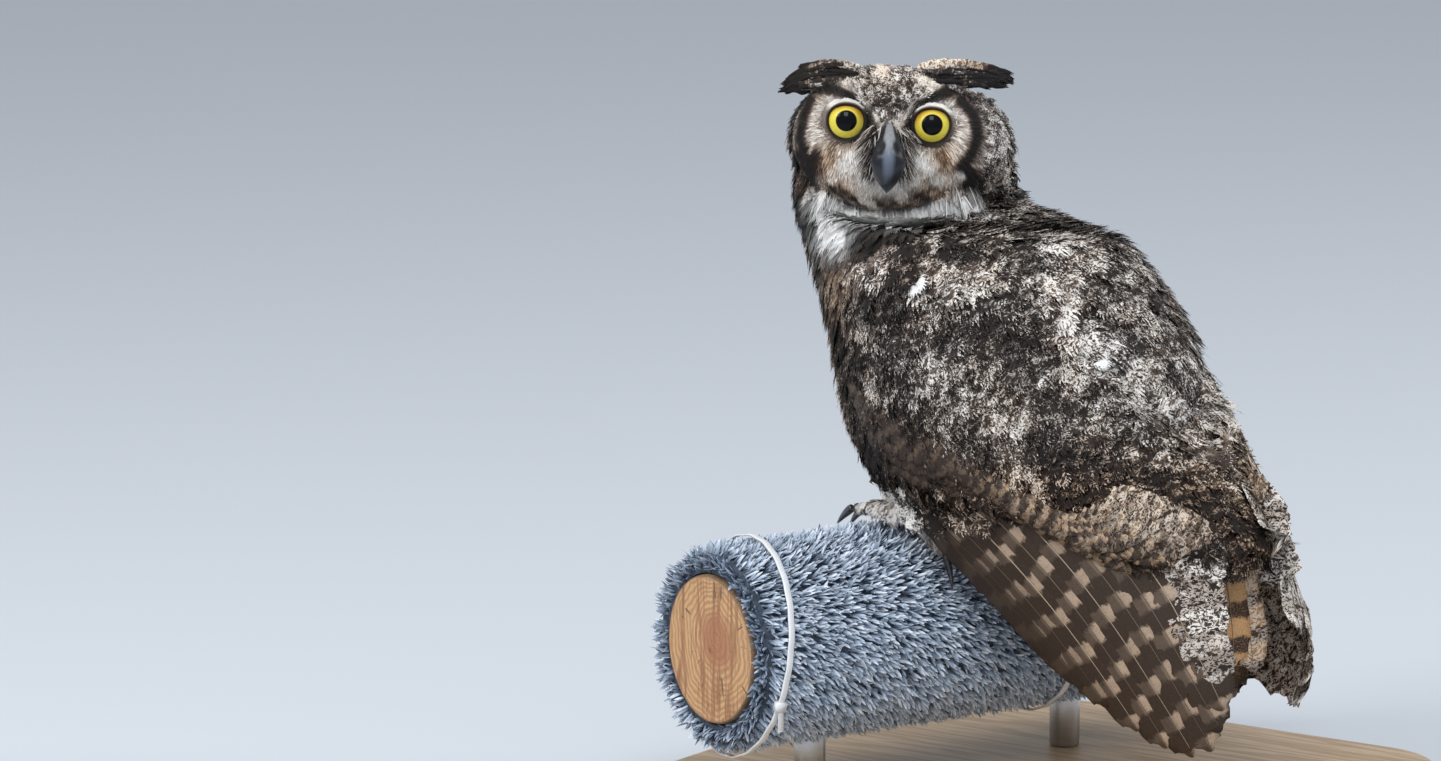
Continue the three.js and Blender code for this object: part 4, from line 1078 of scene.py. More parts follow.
for place, long, half, rise in scapulars["white"]:
    spots = np.array(place, float) + chance.normal(size=(5, 3))
    layFeathers(heap, spots, bodyLie, np.full(5, long), np.full(5, half), np.full(5, rise), softOnes,
                lambda p: np.tile([0.95, 0.0, 1.0], (len(p), 1)), unwrap, turn=0.10, steps=3, vary=0.0)
heap.build("coat_scapulars", plumage)


# long feathers: wings and tail

def longFeather(line, across, up, half, luck, marks, cell, heap, options):
    # line is the shaft from root to tip, across and up its frame, half its half width
    rows, columns = options["rows"], options["columns"]
    share = np.linspace(0, 1, rows)
    length = np.linalg.norm(np.diff(line, axis=0), axis=1).sum()
    steps = np.linspace(0, 1, len(line))
    put3 = lambda values: np.stack([np.interp(share, steps, values[:, k]) for k in range(3)], axis=1)
    middle, wide, out = put3(line), unit(put3(across)), unit(put3(up))
    u = np.linspace(-1, 1, columns)
    shaftAt = options.get("shaft", 0.0)
    rootEase = 0.55 + 0.45 * ramp(0, 0.35, share)
    tipStart = 1 - options.get("tip", 0.16)
    rounding = np.sqrt(np.clip(1 - (np.clip(share - tipStart, 0, 1) / (1 - tipStart)) ** 2 * 0.97, 0, 1))
    halfAt = half * rootEase * (0.25 + 0.75 * rounding)
    dice = np.random.default_rng(int(luck * 1e6))
    notch = 1 + options["fray"] * dice.normal(size=(rows, 2)) * ramp(0.1, 0.4, share)[:, None]
    frayed = np.ones((rows, columns))
    frayed[:, 0], frayed[:, -1] = notch[:, 0], notch[:, 1]
    frayed[:, 1], frayed[:, -2] = mix(1, notch[:, 0], 0.3), mix(1, notch[:, 1], 0.3)
    w = u[None] * halfAt[:, None] * frayed
    camber = -options["camber"] * (u[None] - shaftAt) ** 2 * (halfAt[:, None] / max(half, 1))
    ripple = 0.18 * np.sin(np.abs(w) * 1.1 + share[:, None] * length * 0.7 + luck * 40) * np.abs(u)[None]
    push = dice.normal(size=(rows, columns)) * 0.10 * np.abs(u)[None]
    tops = middle[:, None] + wide[:, None] * w[..., None] + out[:, None] * (camber + ripple + push)[...,
        None]
    pulledBack = (share[:, None] > 0.97) * (-np.abs(u[None]) ** 2 * 1.2)  # rounds the tip's corners
    tops = tops + (middle[-1] - middle[-2])[None, None] * pulledBack[..., None]
    v = share[:, None] * length + 0 * u[None]
    plume = np.stack([w - shaftAt * halfAt[:, None], v, np.full_like(v, luck)], axis=-1)
    vane = np.stack([u[None] + 0 * v, share[:, None] + 0 * v, length + 0 * v], axis=-1)
    x0, y0, x1, y1 = cell
    uv = np.stack([x0 + (x1 - x0) * (0.5 + 0.46 * u[None]) + 0 * v,
        y0 + (y1 - y0) * (0.02 + 0.96 * share[:, None]) + 0 * v], axis=-1)
    marks = np.broadcast_to(np.asarray(marks, float), (rows, 1, 3))
    flatMarks = np.broadcast_to(marks, (rows, columns, 3)).copy()
    face = gridFaces(rows, columns)
    under = tops - out[:, None] * options["thick"]
    number = rows * columns
    rim = np.concatenate([np.arange(columns), np.arange(1, rows) * columns + columns - 1,
                          (rows - 1) * columns + np.arange(columns - 2, -1, -1), np.arange(rows - 2, 0,
                              -1) * columns])
    after = np.roll(rim, -1)
    sides = np.stack([after, rim, rim + number, after + number], axis=1)
    pair = lambda a: np.concatenate([a.reshape(-1, a.shape[-1])] * 2)
    heap.add(np.concatenate([tops.reshape(-1, 3), under.reshape(-1, 3)]),
        [np.concatenate([face, face[:, ::-1] + number, sides])],
             pair(uv), plume=pair(plume), marks=pair(flatMarks), vane=pair(vane))
    if options.get("quill"):
        around = 5
        turns = ringAngles(around)
        thick = options["quill"] * (1 - 0.75 * share)
        centre = middle + wide * (shaftAt * halfAt)[:, None] + out * 0.15
        tube = centre[:, None] + (wide[:, None] * np.cos(turns)[None, :, None] + out[:,
            None] * np.sin(turns)[None, :, None]) * thick[:, None, None]
        tube = tube[:-1]
        size = (rows - 1, around)
        quillUv = np.stack([np.full(size, x0 + (x1 - x0) * (0.5 + 0.46 * shaftAt)),
            y0 + (y1 - y0) * (0.02 + 0.96 * np.broadcast_to(share[:-1, None], size))], axis=-1)
        flatten = lambda a: a.reshape(-1, a.shape[-1])
        heap.add(flatten(tube), [gridFaces(rows - 1, around, closed=True)], flatten(quillUv),
                 plume=np.zeros((rows * around - around, 3)), marks=np.repeat(marks[:-1, 0], around,
                     axis=0),
                 vane=np.tile([9.0, options.get("quillLight", 0.5), length], (rows * around - around, 1)))


def cells(columns, rows):  # places for each long feather on the bake
    return [(c / columns, r / rows, (c + 0.94) / columns,
        (r + 0.94) / rows) for r in range(rows) for c in range(columns)]


def longMaterial(name, dark, light, edgeTint, bar, duty, inner=0.16, roughness=0.6):
    # broad bars across the vane, the pale ones mottled and mostly on the outer side of the shaft
    material, tree = newMaterial(name, Roughness=roughness, Specular_IOR_Level=0.3)
    plume = attribute(tree, "plume")
    px, py, pz = apart(tree, plume)
    tone, warm, white = apart(tree, attribute(tree, "marks"))
    vx, vy, _ = apart(tree, attribute(tree, "vane"))
    moved = together(tree, px, py, times(tree, pz, 61.0))
    rough = noise(tree, moved, 0.16, 3.0, Roughness=0.6)
    grain = noise(tree, moved, 0.9, 3.0)
    waved = timesPlus(tree, calc(tree, "SUBTRACT", rough, 0.5), 11.0, py)
    saw = calc(tree, "FRACT", timesPlus(tree, pz, 1.0, calc(tree, "DIVIDE", waved, bar)))
    barMask = times(tree, between(tree, 0.01, 0.13, saw), between(tree, duty + 0.10, duty - 0.03, saw))
    outer = between(tree, 0.05, -0.30, vx)
    margin = between(tree, 0.97, 0.80, calc(tree, "ABSOLUTE", vx))
    shown = times(tree, barMask, timesPlus(tree, times(tree, outer, margin), 0.96 - inner, inner))
    shown = times(tree, shown, timesPlus(tree, tone, 1.25, 0.05), clamp=True)
    speckled = times(tree, shown, timesPlus(tree, grain, 1.7, timesPlus(tree, rough, 0.7, -0.22)),
        clamp=True)
    body = blend(tree, speckled, dark, light)
    fleck = times(tree, between(tree, 0.50, 0.68, grain), times(tree, tone, 0.5))
    body = blend(tree, fleck, body, edgeTint)
    lines = useGroup(tree, waves, {"Plume": plume, "Pitch": 2.1, "Cover": 0.62})[0]
    lively = timesPlus(tree, calc(tree, "SUBTRACT", lines, 0.46), 0.85, tone)
    darkBar = times(tree, between(tree, duty - 0.04, duty + 0.06, saw), between(tree, 1.0, 0.9, saw))
    lively = timesPlus(tree, darkBar, -0.33, lively, clamp=True)
    mottled = useGroup(tree, dyes, {"Tone": lively, "Warm": warm, "White": 0.0})[0]
    colour = blend(tree, white, body, mottled)
    quill = between(tree, 5.0, 6.0, vx)
    colour = blend(tree, quill, colour,
        blend(tree, times(tree, between(tree, 0.25, 0.75, tone), vy), (0.045, 0.03, 0.02),
        (0.48, 0.37, 0.27)))
    wire(tree, colour, "Base Color")
    hair = useGroup(tree, barbs, {"Plume": plume, "Pitch": 1.5})[0]
    roughen(tree, hair, 0.22, 0.0004)
    return material


# colours: dark brown, pale bar, fleck
primaryLook = longMaterial("barred flight feathers", (0.040, 0.025, 0.017), (0.50, 0.37, 0.27),
    (0.10, 0.060, 0.036), 29.0, 0.44)
covertLook = longMaterial("checked coverts", (0.036, 0.022, 0.015), (0.52, 0.34, 0.20),
    (0.11, 0.066, 0.038), 12.0, 0.46, inner=0.45)
looseLook = longMaterial("orange inner feathers", (0.055, 0.026, 0.014), (0.68, 0.38, 0.17),
    (0.52, 0.34, 0.20), 25.0, 0.58, inner=0.8)
tailLook = longMaterial("barred tail feathers", (0.055, 0.028, 0.015), (0.52, 0.30, 0.15),
    (0.50, 0.36, 0.23), 23.0, 0.62)

wing = {
    "feathers": 12, "halfWidth": 17.0, "hinge": (-16, 382), "rightLift": 6.5, "inset": 4.5, "stack": 0.42,
    "roots": [(-62, 236), (-20, 250), (60, 246), (130, 232), (178, 226)],
    "tips": [(78, 116), (108, 97), (150, 75), (184, 70), (197, 94), (197, 128), (180, 180)],
    # setback, inset, length, half width
    "coverts": ((0, 2.6, 52, 9.5), (13, 1.7, 46, 9.0), (25, 0.8, 40, 8.5)),
}


def curveAt(points, share):  # smooth curve through points
    points = np.array(points, float)
    place = share * (len(points) - 1)
    k = int(min(place, len(points) - 2))
    t = place - k
    p0, p1, p2, p3 = (points[int(np.clip(k + d, 0, len(points) - 1))] for d in (-1, 0, 1, 2))
    return 0.5 * (2 * p1 + (p2 - p0) * t + (2 * p0 - 5 * p1 + 4 * p2 - p3) * t * t + (
        3 * p1 - p0 - 3 * p2 + p3) * t ** 3)


def onWing(side, flat, inset):  # side view place to the folded wing's surface, and which way is out
    x, z = flat[:, 0], flat[:, 1]
    step = 1.5
    y = bodySide(x, z, inset)
    gx = (bodySide(x + step, z, inset) - bodySide(x - step, z, inset)) / (2 * step)
    gz = (bodySide(x, z + step, inset) - bodySide(x, z - step, inset)) / (2 * step)
    gx = np.clip(gx, -2.2, 2.2)
    out = unit(np.stack([-gx, np.ones(len(x)), -gz], axis=1)) * np.array([1, side, 1])
    return np.stack([x, side * y, z], axis=1), out


def turnWing(point, lift):  # the right wing is held a little higher
    d = np.asarray(point, float) - wing["hinge"]
    a = math.radians(lift)
    return wing["hinge"] + np.stack(
        [d[..., 0] * math.cos(a) - d[..., 1] * math.sin(a),
        d[..., 0] * math.sin(a) + d[..., 1] * math.cos(a)], axis=-1)


def foldedWing(side, name, node, lift):
    heap = Heap()
    places = cells(4, 3)
    count = wing["feathers"]
    for index in range(count):
        share = index / (count - 1)
        root, tip = turnWing(curveAt(wing["roots"], share), lift), turnWing(curveAt(wing["tips"], share),
            lift)
        t = np.linspace(0, 1, 14)[:, None]
        sag = np.array([-(tip - root)[1], (tip - root)[0]]) * 0.045
        flat = root * (1 - t) + tip * t + sag * np.sin(t * math.pi)
        line, out = onWing(side, flat, wing["inset"])
        line = line + out * (wing["stack"] * (index - count * 0.5) + 1.0)
        way = unit(np.gradient(line, axis=0))
        across = unit(np.cross(out, way)) * side
        inner = ramp(0.74, 0.86, share)
        tone = mix(0.28, 0.72, ramp(0.02, 0.30, share)) * chance.uniform(0.85, 1.1)
        grey = inner if side < 0 else max(inner, 0.95 * ramp(0.1, 0.4, share))
        pale = (mix(tone, 0.62 if side < 0 else 0.70, grey), mix(0.38, 0.22, grey), grey)
        options = {"quillLight": 0.9 if index in (3, 5, 8) else 0.28, "rows": 34, "columns": 9,
            "fray": 0.045, "camber": 2.0, "thick": 0.5, "quill": 0.6, "shaft": -0.15, "tip": 0.17}
        longFeather(line, across, out, wing["halfWidth"], chance.random(), pale, places[index], heap,
            options)
    piece = heap.build(name, primaryLook)
    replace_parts(piece, node)


def makeCoverts(side, name, lift):
    heap = Heap()
    places = cells(16, 12)
    number = 0
    for setback, inset, long, half in reversed(wing["coverts"]):
        count = 34
        for index in range(count):
            share = (index + chance.uniform(-0.25, 0.25)) / (count - 1)
            tip = curveAt(wingArc, np.clip(share, 0, 1))
            lie = unit(mix(np.array([0.55, -0.83]), np.array([0.86, -0.50]), ramp(0.0, 0.6, share)))
            tip = tip - lie * (setback + chance.normal() * 1.5)
            root = tip - lie * long * chance.uniform(0.92, 1.08)
            t = np.linspace(0, 1, 7)[:, None]
            flat = turnWing(root * (1 - t) + tip * t, lift)
            line, out = onWing(side, flat, inset)
            line = line + out * (0.045 * index + 0.9 * t ** 2)
            way = unit(np.gradient(line, axis=0))
            across = unit(np.cross(out, way)) * side
            middle = ramp(0.36, 0.60, share)
            soft = 0.04 + 0.55 * ramp(0.82, 0.97, share) + 0.12 * (setback > 20)
            marks = (mix(0.07, 0.62, middle) * chance.uniform(0.8, 1.2), mix(0.14, 0.55, middle),
                min(0.9, soft))
            options = {"rows": 14, "columns": 7, "fray": 0.07, "camber": 1.1, "thick": 0.4, "shaft": 0.0,
                "tip": 0.30}
            longFeather(line, across, out, half * chance.uniform(0.9, 1.1), chance.random(), marks,
                places[number % len(places)], heap, options)
            number += 1
    heap.build(name, covertLook)


foldedWing(-1, "flight_left", "wing_left_flight", 0.0)
foldedWing(1, "flight_right", "wing_right_flight", wing["rightLift"])
makeCoverts(-1, "coverts_left", 0.0)
makeCoverts(1, "coverts_right", wing["rightLift"])

tail = {"root": (134, 0, 262), "tip": (160, 0, 78), "feathers": 12, "halfWidth": 15, "spread": 36,
    "arch": 8,
        "loose": (((148, 6, 252), (194, -2, 122), 0.55), ((146, 0, 250), (186, -15, 126), 0.0))}


def makeTail():
    heap = Heap()
    root, tip = np.array(tail["root"], float), np.array(tail["tip"], float)
    way = unit(tip - root)
    length = np.linalg.norm(tip - root)
    side = np.array([0, 1.0, 0])
    out = np.cross(side, way)
    order = sorted(range(tail["feathers"]), key=lambda i: -abs(i - (tail["feathers"] - 1) / 2))
    places = cells(4, 4)
    for layer, index in enumerate(order):
        spread = 2 * index / (tail["feathers"] - 1) - 1
        t = np.linspace(0, 1, 12)[:, None]
        reach = length - 14 * spread ** 2
        w = tail["spread"] * spread * (0.5 + 0.5 * t)
        lift = tail["arch"] * (1 - 2 * (w / 58) ** 2) + 0.32 * layer - 2.0
        line = root + way * reach * t + side * w + out * lift
        tilt = np.array([side - out * (4 * tail["arch"] * float(w[-1, 0]) / 58 ** 2)] * 12)
        options = {"rows": 26, "columns": 9, "fray": 0.03, "camber": 1.0, "thick": 0.5, "quill": 0.8,
            "shaft": 0.0, "tip": 0.12}
        longFeather(line, unit(tilt), np.array([out] * 12), tail["halfWidth"], chance.random(),
            (0.5, 0.6, 0.12), places[index], heap, options)
    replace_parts(heap.build("tail_feathers", tailLook), "tail")
    heap = Heap()
    for number, (rootLoose, tipLoose, white) in enumerate(tail["loose"]):
        t = np.linspace(0, 1, 12)[:, None]
        line = np.array(rootLoose, float) * (1 - t) + np.array(tipLoose,
            float) * t + np.array([12, -9, 3]) * np.sin(t * math.pi)
        toward = np.broadcast_to(unit(np.array([0.66, -0.66, 0.25])), line.shape)
        along = unit(np.gradient(line, axis=0))
        outward = unit(toward - np.sum(toward * along, axis=1, keepdims=True) * along)
        options = {"rows": 26, "columns": 9, "fray": 0.04, "camber": 1.6, "thick": 0.5, "quill": 0.7,
            "shaft": 0.1, "tip": 0.2}
        longFeather(line, np.cross(outward, along), outward, 14.5, chance.random(), (0.86, 0.5, white),
            places[-1 - number], heap, options)
    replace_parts(heap.build("tail_inner", looseLook), "tail")


makeTail()


# ear tufts

tufts = {
    "feathers": 155, "half": [8.8, 11.0, 8.4, 3.6, 0.5],
    "ear_tuft_left": dict(side=1, reach=88, heights=(45, 49, 50, 45), thick=0.88, seed=3),
    "ear_tuft_right": dict(side=-1, reach=79, heights=(42.5, 42, 44, 30), thick=1.0, seed=4),
}


def bezier(points, t):
    a, b, c, d = (np.array(p, float) for p in points)
    t = np.asarray(t, float)[..., None]
    return a * (1 - t) ** 3 + 3 * b * t * (1 - t) ** 2 + 3 * c * t * t * (1 - t) + d * t ** 3


def makeTuft(node, side, reach, heights, thick, seed):
    dice = np.random.default_rng(seed)
    curve = [(side * 18, -29, heights[0]), (side * 44, -27, heights[1]),
        (side * (reach - 20), -20, heights[2]), (side * reach, -12, heights[3])]
    heap = Heap()
    for index in range(tufts["feathers"]):
        share = index / tufts["feathers"]
        begin = dice.uniform(0, 0.5) if share < 0.75 else dice.uniform(0.15, 0.5)
        end = min(1.0, begin + dice.uniform(0.26, 0.5)) if share < 0.8 else dice.uniform(0.90, 1.0)
        height, depth = dice.uniform(-1, 1), dice.uniform(-1, 1)
        t = np.linspace(begin, end, 8)
        q = bezier(curve, t)
        thin = np.interp(t, [0, 0.3, 0.7, 0.9, 1.0], tufts["half"]) * thick
        flare = np.linspace(0, 1, 8) ** 2 * dice.normal() * 2.2
        drop = np.linspace(0, 1, 8) ** 2 * np.interp(end, [0.5, 1], [3.0, 0.5]) * min(height, 0)
        q = q + np.stack([0 * t, depth * 0.5 * thin, height * thin * 0.9 + flare + drop], axis=1)
        line = fromHead(q)
        way = unit(np.gradient(line, axis=0))
        facing = np.array(headTurn @ np.array([0, -1.0, 0.25 * height]))
        out = unit(facing - np.sum(facing * way, axis=1, keepdims=True) * way)
        across = np.cross(out, way)
        place = np.interp(np.linspace(0, 1, 12), np.linspace(0, 1, 8), t)
        base = ramp(0.62, 0.42, place + 0.08 * dice.normal() - (0.14 if side < 0 else 0))
        cream = ramp(0.80, 0.62, place) * ramp(0.45, 0.80, height) if side > 0 else base * ramp(0.55, 0.85,
            height) * 0.35
        tone = mix(0.12 + 0.16 * dice.random() if side > 0 else 0.02 + 0.05 * dice.random(),
            0.34 + 0.16 * dice.normal(), base) + 0.38 * cream
        marks = np.stack([np.clip(tone, 0.02, 0.9), (0.02 if side > 0 else 0.15) + 0.55 * cream, 0 * tone],
            axis=1)[:, None]
        options = {"rows": 12, "columns": 5, "fray": 0.16, "camber": 0.5, "thick": 0.3, "tip": 0.6}
        longFeather(line, across, out, dice.uniform(1.5, 3.2) * (1.25 - 0.6 * end), dice.random(), marks,
            (0.1, 0.1, 0.103, 0.103), heap, options)
    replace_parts(heap.build(node.replace("ear_tuft", "tuft"), tuftPlumage), node)


for node in ("ear_tuft_left", "ear_tuft_right"):
    makeTuft(node, **tufts[node])


# eyes

eyeLook, tree = newMaterial("eye", Roughness=0.3, Specular_IOR_Level=0.03, Coat_Weight=0.9,
    Coat_Roughness=0.02, Coat_IOR=1.2)
gx, gy, gz = apart(tree, attribute(tree, "gaze"))
radius = calc(tree, "SQRT", timesPlus(tree, gx, gx, times(tree, gy, gy)))
angle = calc(tree, "ARCTAN2", gy, gx)
spokes = together(tree, times(tree, calc(tree, "COSINE", angle), 5.0),
    times(tree, calc(tree, "SINE", angle), 5.0),
    times(tree, radius, 0.12))
streaks = noise(tree, spokes, 3.0, 3.0)
yellow = blend(tree, streaks, (0.62, 0.47, 0.035), (0.86, 0.76, 0.13))
amber = times(tree, between(tree, 0.0, 10.0, timesPlus(tree, gz, -0.30, gy)),
    between(tree, 7.4, 11.0, radius))
iris = blend(tree, times(tree, amber, 0.85), yellow, (0.42, 0.16, 0.02))
irisEdge = blend(tree, between(tree, 11.6, 12.5, radius), iris, (0.012, 0.010, 0.009))
pupil = blend(tree, between(tree, 7.7, 7.1, radius), irisEdge, (0.0035, 0.0035, 0.005))
wire(tree, pupil, "Base Color")


def makeEye(name, node, side):
    rows, columns = 40, 64
    a = np.linspace(0, math.pi, rows)[:, None]
    b = ringAngles(columns)[None]
    swell = 0.8 * np.clip(np.cos(a), 0, 1) ** 6
    size = eyes["radius"] + swell
    x = size * np.sin(a) * np.cos(b)
    zed = size * np.sin(a) * np.sin(b)
    y = -size * np.cos(a) + 0 * b
    local = np.stack([x + side * eyes["aside"], y - eyes["depth"], zed + eyes["height"]],
        axis=-1).reshape(-1, 3)
    hidden = np.where(np.cos(a) < 0, 30.0, 0.0) + 0 * b
    gaze = np.stack([x + hidden, zed, x * side], axis=-1).reshape(-1, 3)
    uv = np.stack([0.5 + 0.45 * a / math.pi * np.cos(b), 0.5 + 0.45 * a / math.pi * np.sin(b)],
        axis=-1).reshape(-1, 2)
    piece = addMesh(name, fromHead(local), [gridFaces(rows, columns, closed=True)[:, ::-1]], eyeLook, uv,
        {"gaze": gaze})
    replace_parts(piece, node)


makeEye("eyeball_left", "eye_left", 1)
makeEye("eyeball_right", "eye_right", -1)


# bill

bill = {
    "curve": [(0, -42, 5), (0, -66, 2), (0, -76, -20), (0, -63, -38)],
    "rows": [(0, 4.0, 6), (0.15, 5.2, 8), (0.35, 8.2, 9.6), (0.5, 11.2, 10.2), (0.62, 12.2, 9.8),
        (0.77, 10.0, 8), (0.88, 6.2, 5.2), (0.95, 2.8, 2.8), (1, 0.3, 0.3)],
    "lowerCurve": [(0, -38, -14), (0, -48, -16), (0, -56, -22), (0, -59, -31)],
    "lowerRows": [(0, 7, 4), (0.4, 7.5, 4.5), (0.75, 5, 3.5), (1, 0.6, 0.6)],
    "nostril": (0.47, 34, 2.3),  # share along, degrees from the ridge, radius
    "bristles": 760,
}

hornLook, tree = newMaterial("bill horn", Roughness=0.3, Specular_IOR_Level=0.22, Coat_Roughness=0.12)
hx, hy, nostrilShade = apart(tree, attribute(tree, "horn"))  # share along, height round the ridge, pit
speckle = noise(tree, attribute(tree, "plume"), 0.6, 4.0, Roughness=0.65)
streak = noise(tree, stretch(tree, attribute(tree, "plume"), (1.4, 0.12, 0.12)), 1.5, 2.0)
# painted highlight: a pale blue-grey streak along the top of the ridge, fading out towards the tip
paintedRidgeHighlight = times(tree, between(tree, 0.80, 1.0, hy), between(tree, 0.92, 0.55, hx))
slate = blend(tree, paintedRidgeHighlight, (0.009, 0.010, 0.014), (0.16, 0.19, 0.25))
slate = blend(tree, times(tree, streak, 0.4), slate, (0.022, 0.026, 0.036))
cere = blend(tree, speckle, (0.10, 0.105, 0.115), (0.40, 0.41, 0.42))
isCere = times(tree, between(tree, 0.52, 0.40, timesPlus(tree, hy, -0.05, hx)),
    between(tree, 0.76, 0.92, hy))
colour = blend(tree, isCere, slate, cere)
# painted shade: the nostril pits are painted near black
colour = blend(tree, nostrilShade, colour, (0.004, 0.004, 0.005))
wire(tree, colour, "Base Color")
wire(tree, timesPlus(tree, between(tree, 0.60, 0.40, hx), 0.25, 0.30), "Roughness")
wire(tree, times(tree, between(tree, 0.55, 0.75, hx), 0.5), "Coat Weight")
roughen(tree, speckle, 0.25, 0.0006)


def makeHorn(name, node, curve, table, nostril=None, ridge=0.38, rows=70, columns=48):
    t = np.linspace(0, 1, rows)
    t = t * (1.25 - 0.25 * t)
    middle = bezier(curve, t)
    way = unit(np.gradient(middle, axis=0))
    side = np.array([1.0, 0, 0])
    up = unit(np.cross(np.broadcast_to(side, way.shape), way)) * -1
    up = up * np.sign(np.sum(up * np.array([0, -1.0, 0.4]), axis=1, keepdims=True))
    table = np.array(table, float)
    wide = np.interp(t, table[:, 0], table[:, 1])
    high = np.interp(t, table[:, 0], table[:, 2])
    soft = np.array([1, 2, 3, 2, 1]) / 9
    blur = lambda a: np.concatenate([a[:2], np.convolve(a, soft, "valid"), a[-2:]])
    wide, high = blur(wide), blur(high)
    turns = ringAngles(columns)
    c, s = np.cos(turns), np.sin(turns)
    pinch = 1 - ridge * np.clip(s, 0, 1) ** 3
    across = wide[:, None] * c * pinch
    rise = high[:, None] * np.where(s > 0, s, s * 0.8)
    pit = np.zeros((rows, columns))
    if nostril:
        along, degrees, radius = nostril
        for sideSign in (1, -1):
            aim = math.radians(90 + sideSign * degrees)
            du = (t[:, None] - along) * 45 / (radius * 1.3)
            dv = np.angle(np.exp(1j * (turns[None] - aim))) * 9 / radius
            pit = np.maximum(pit, np.exp(-(du ** 2 + dv ** 2) ** 1.5))
    shrink = 1 - 0.16 * pit
    swell = 1 + 0.05 * np.exp(-((t[:, None] - 0.40) / 0.08) ** 2) - 0.04 * np.exp(
        -((t[:, None] - 0.52) / 0.03) ** 2)
    points = middle[:, None] + side * (across * shrink * swell)[..., None] + up[:,
        None] * (rise * shrink * swell)[..., None]
    # the third value marks the nostril pits, where the bill material paints shade
    horn = np.stack([t[:, None] + 0 * turns, s[None] + 0 * t[:, None], np.clip(pit * 1.6 - 0.35, 0, 1)],
        axis=-1)
    uv = np.stack([0.5 + 0.45 * (0.15 + 0.85 * t[:, None]) * c,
        0.5 + 0.45 * (0.15 + 0.85 * t[:, None]) * s], axis=-1)
    local = points.reshape(-1, 3)
    piece = addMesh(name, fromHead(local), [gridFaces(rows, columns, closed=True)], hornLook,
        uv.reshape(-1, 2), {"horn": horn.reshape(-1, 3), "plume": local})
    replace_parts(piece, node)
    return piece


def bristles():
    dice = np.random.default_rng(9)
    heap = Heap()
    for index in range(bill["bristles"]):
        side = 1 if index % 2 else -1
        low = dice.uniform(0, 1)
        root = np.array([side * dice.uniform(5.5, 12.0), -40 - 11 * dice.random(), mix(9, -18, low)])
        aim = np.array([side * mix(2.2, 1.2, low) * dice.uniform(-0.4, 1.6), -1.3 - dice.random(),
            mix(-1.6, -2.8, low)])
        long = dice.uniform(10, 18)
        t = np.linspace(0, 1, 5)[:, None]
        way = unit(aim)
        line = root + way * long * t + np.array([side * 1.2, 1.0, -3.5]) * t ** 2
        along = unit(np.gradient(line, axis=0))
        wide = np.cross(along, np.array([side * 0.8, -1.0, 0.2]))
        half = dice.uniform(0.30, 0.62) * np.array([1, 1, 0.8, 0.55, 0.08])[:, None]
        points = np.concatenate([line - unit(wide) * half, line + unit(wide) * half])
        quads = np.array([[i, i + 1, i + 6, i + 5] for i in range(4)])
        light = 0.84 if dice.random() < 0.45 else 0.10
        tones = mix(light, 0.05, np.tile(np.linspace(0, 1, 5) ** 2, 2)) if dice.random() < 0.6 else np.full(
            10, light)
        place = fromHead(points)
        heap.add(place, [quads], unwrapHead(place), plume=np.tile([0.3, 3.0, dice.random()], (10, 1)),
                 marks=np.stack([tones, np.full(10, 0.1), np.zeros(10)], axis=1))
    heap.build("bristles", facePlumage)


bristles()
makeHorn("beak_upper", "bill_upper", bill["curve"], bill["rows"], bill["nostril"])
makeHorn("beak_lower", "bill_lower", bill["lowerCurve"], bill["lowerRows"], ridge=0.1, rows=30, columns=32)
print("head finished")


# feet

clawLook, tree = newMaterial("claw horn", Roughness=0.28, Specular_IOR_Level=0.5, Coat_Weight=0.3,
    Coat_Roughness=0.2)
grain = noise(tree, position(tree), 500.0, 3.0)
wire(tree, colours(tree, grain, [(0.3, (0.012, 0.012, 0.015)), (0.7, (0.06, 0.058, 0.062))]), "Base Color")

for name in [f"talon_{side}_{number}" for side in ("left", "right") for number in range(1, 5)]:
    copied = nodes[name].data.copy()
    shape = bpy.data.objects.new("shape", copied)
    shape.matrix_world = nodes[name].matrix_world
    scene.collection.objects.link(shape)
    weld = shape.modifiers.new("weld", "WELD")
    weld.merge_threshold = 0.02 * mm
    finer = shape.modifiers.new("finer", "SUBSURF")
    finer.levels = finer.render_levels = 2
    rounded = bpy.data.meshes.new_from_object(shape.evaluated_get(bpy.context.evaluated_depsgraph_get()))
    rounded.transform(shape.matrix_world)
    bpy.data.objects.remove(shape)
    rounded.materials.clear()
    rounded.materials.append(clawLook)
    rounded.polygons.foreach_set("use_smooth", np.ones(len(rounded.polygons), bool))
    claw = bpy.data.objects.new(name.replace("talon", "claw"), rounded)
    scene.collection.objects.link(claw)
    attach(claw, "root")
    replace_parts(claw, name)


# perch: wood, turf and ties

perch = {"mark": (-70, 0, 127), "turn": 69, "near": -190, "far": 222, "core": 53, "turf": 76, "setback": 3,
         "ties": (-162, 96), "slant": 13, "blades": 25500, "bladeLength": 12.5, "bladeWidth": 1.12,
         "endBlades": 1700, "lockAngle": -1.95}  # where round the log the ties' locks sit
perchMark = np.array(perch["mark"], float)
logWay = np.array([math.cos(math.radians(perch["turn"])), math.sin(math.radians(perch["turn"])), 0])
logSide = np.array([-logWay[1], logWay[0], 0])


def roundLog(station, angle, radius):
    station, angle, radius = (np.asarray(v, float)[..., None] for v in (station, angle, radius))
    return perchMark + logWay * station + (
        logSide * np.sin(angle) + np.array([0, 0, 1.0]) * np.cos(angle)) * radius


def tieStation(at, angle):  # the ties run a little aslant
    return at - 3 + perch["slant"] * np.cos(angle) + 0.8 * perch["slant"] * np.sin(angle)


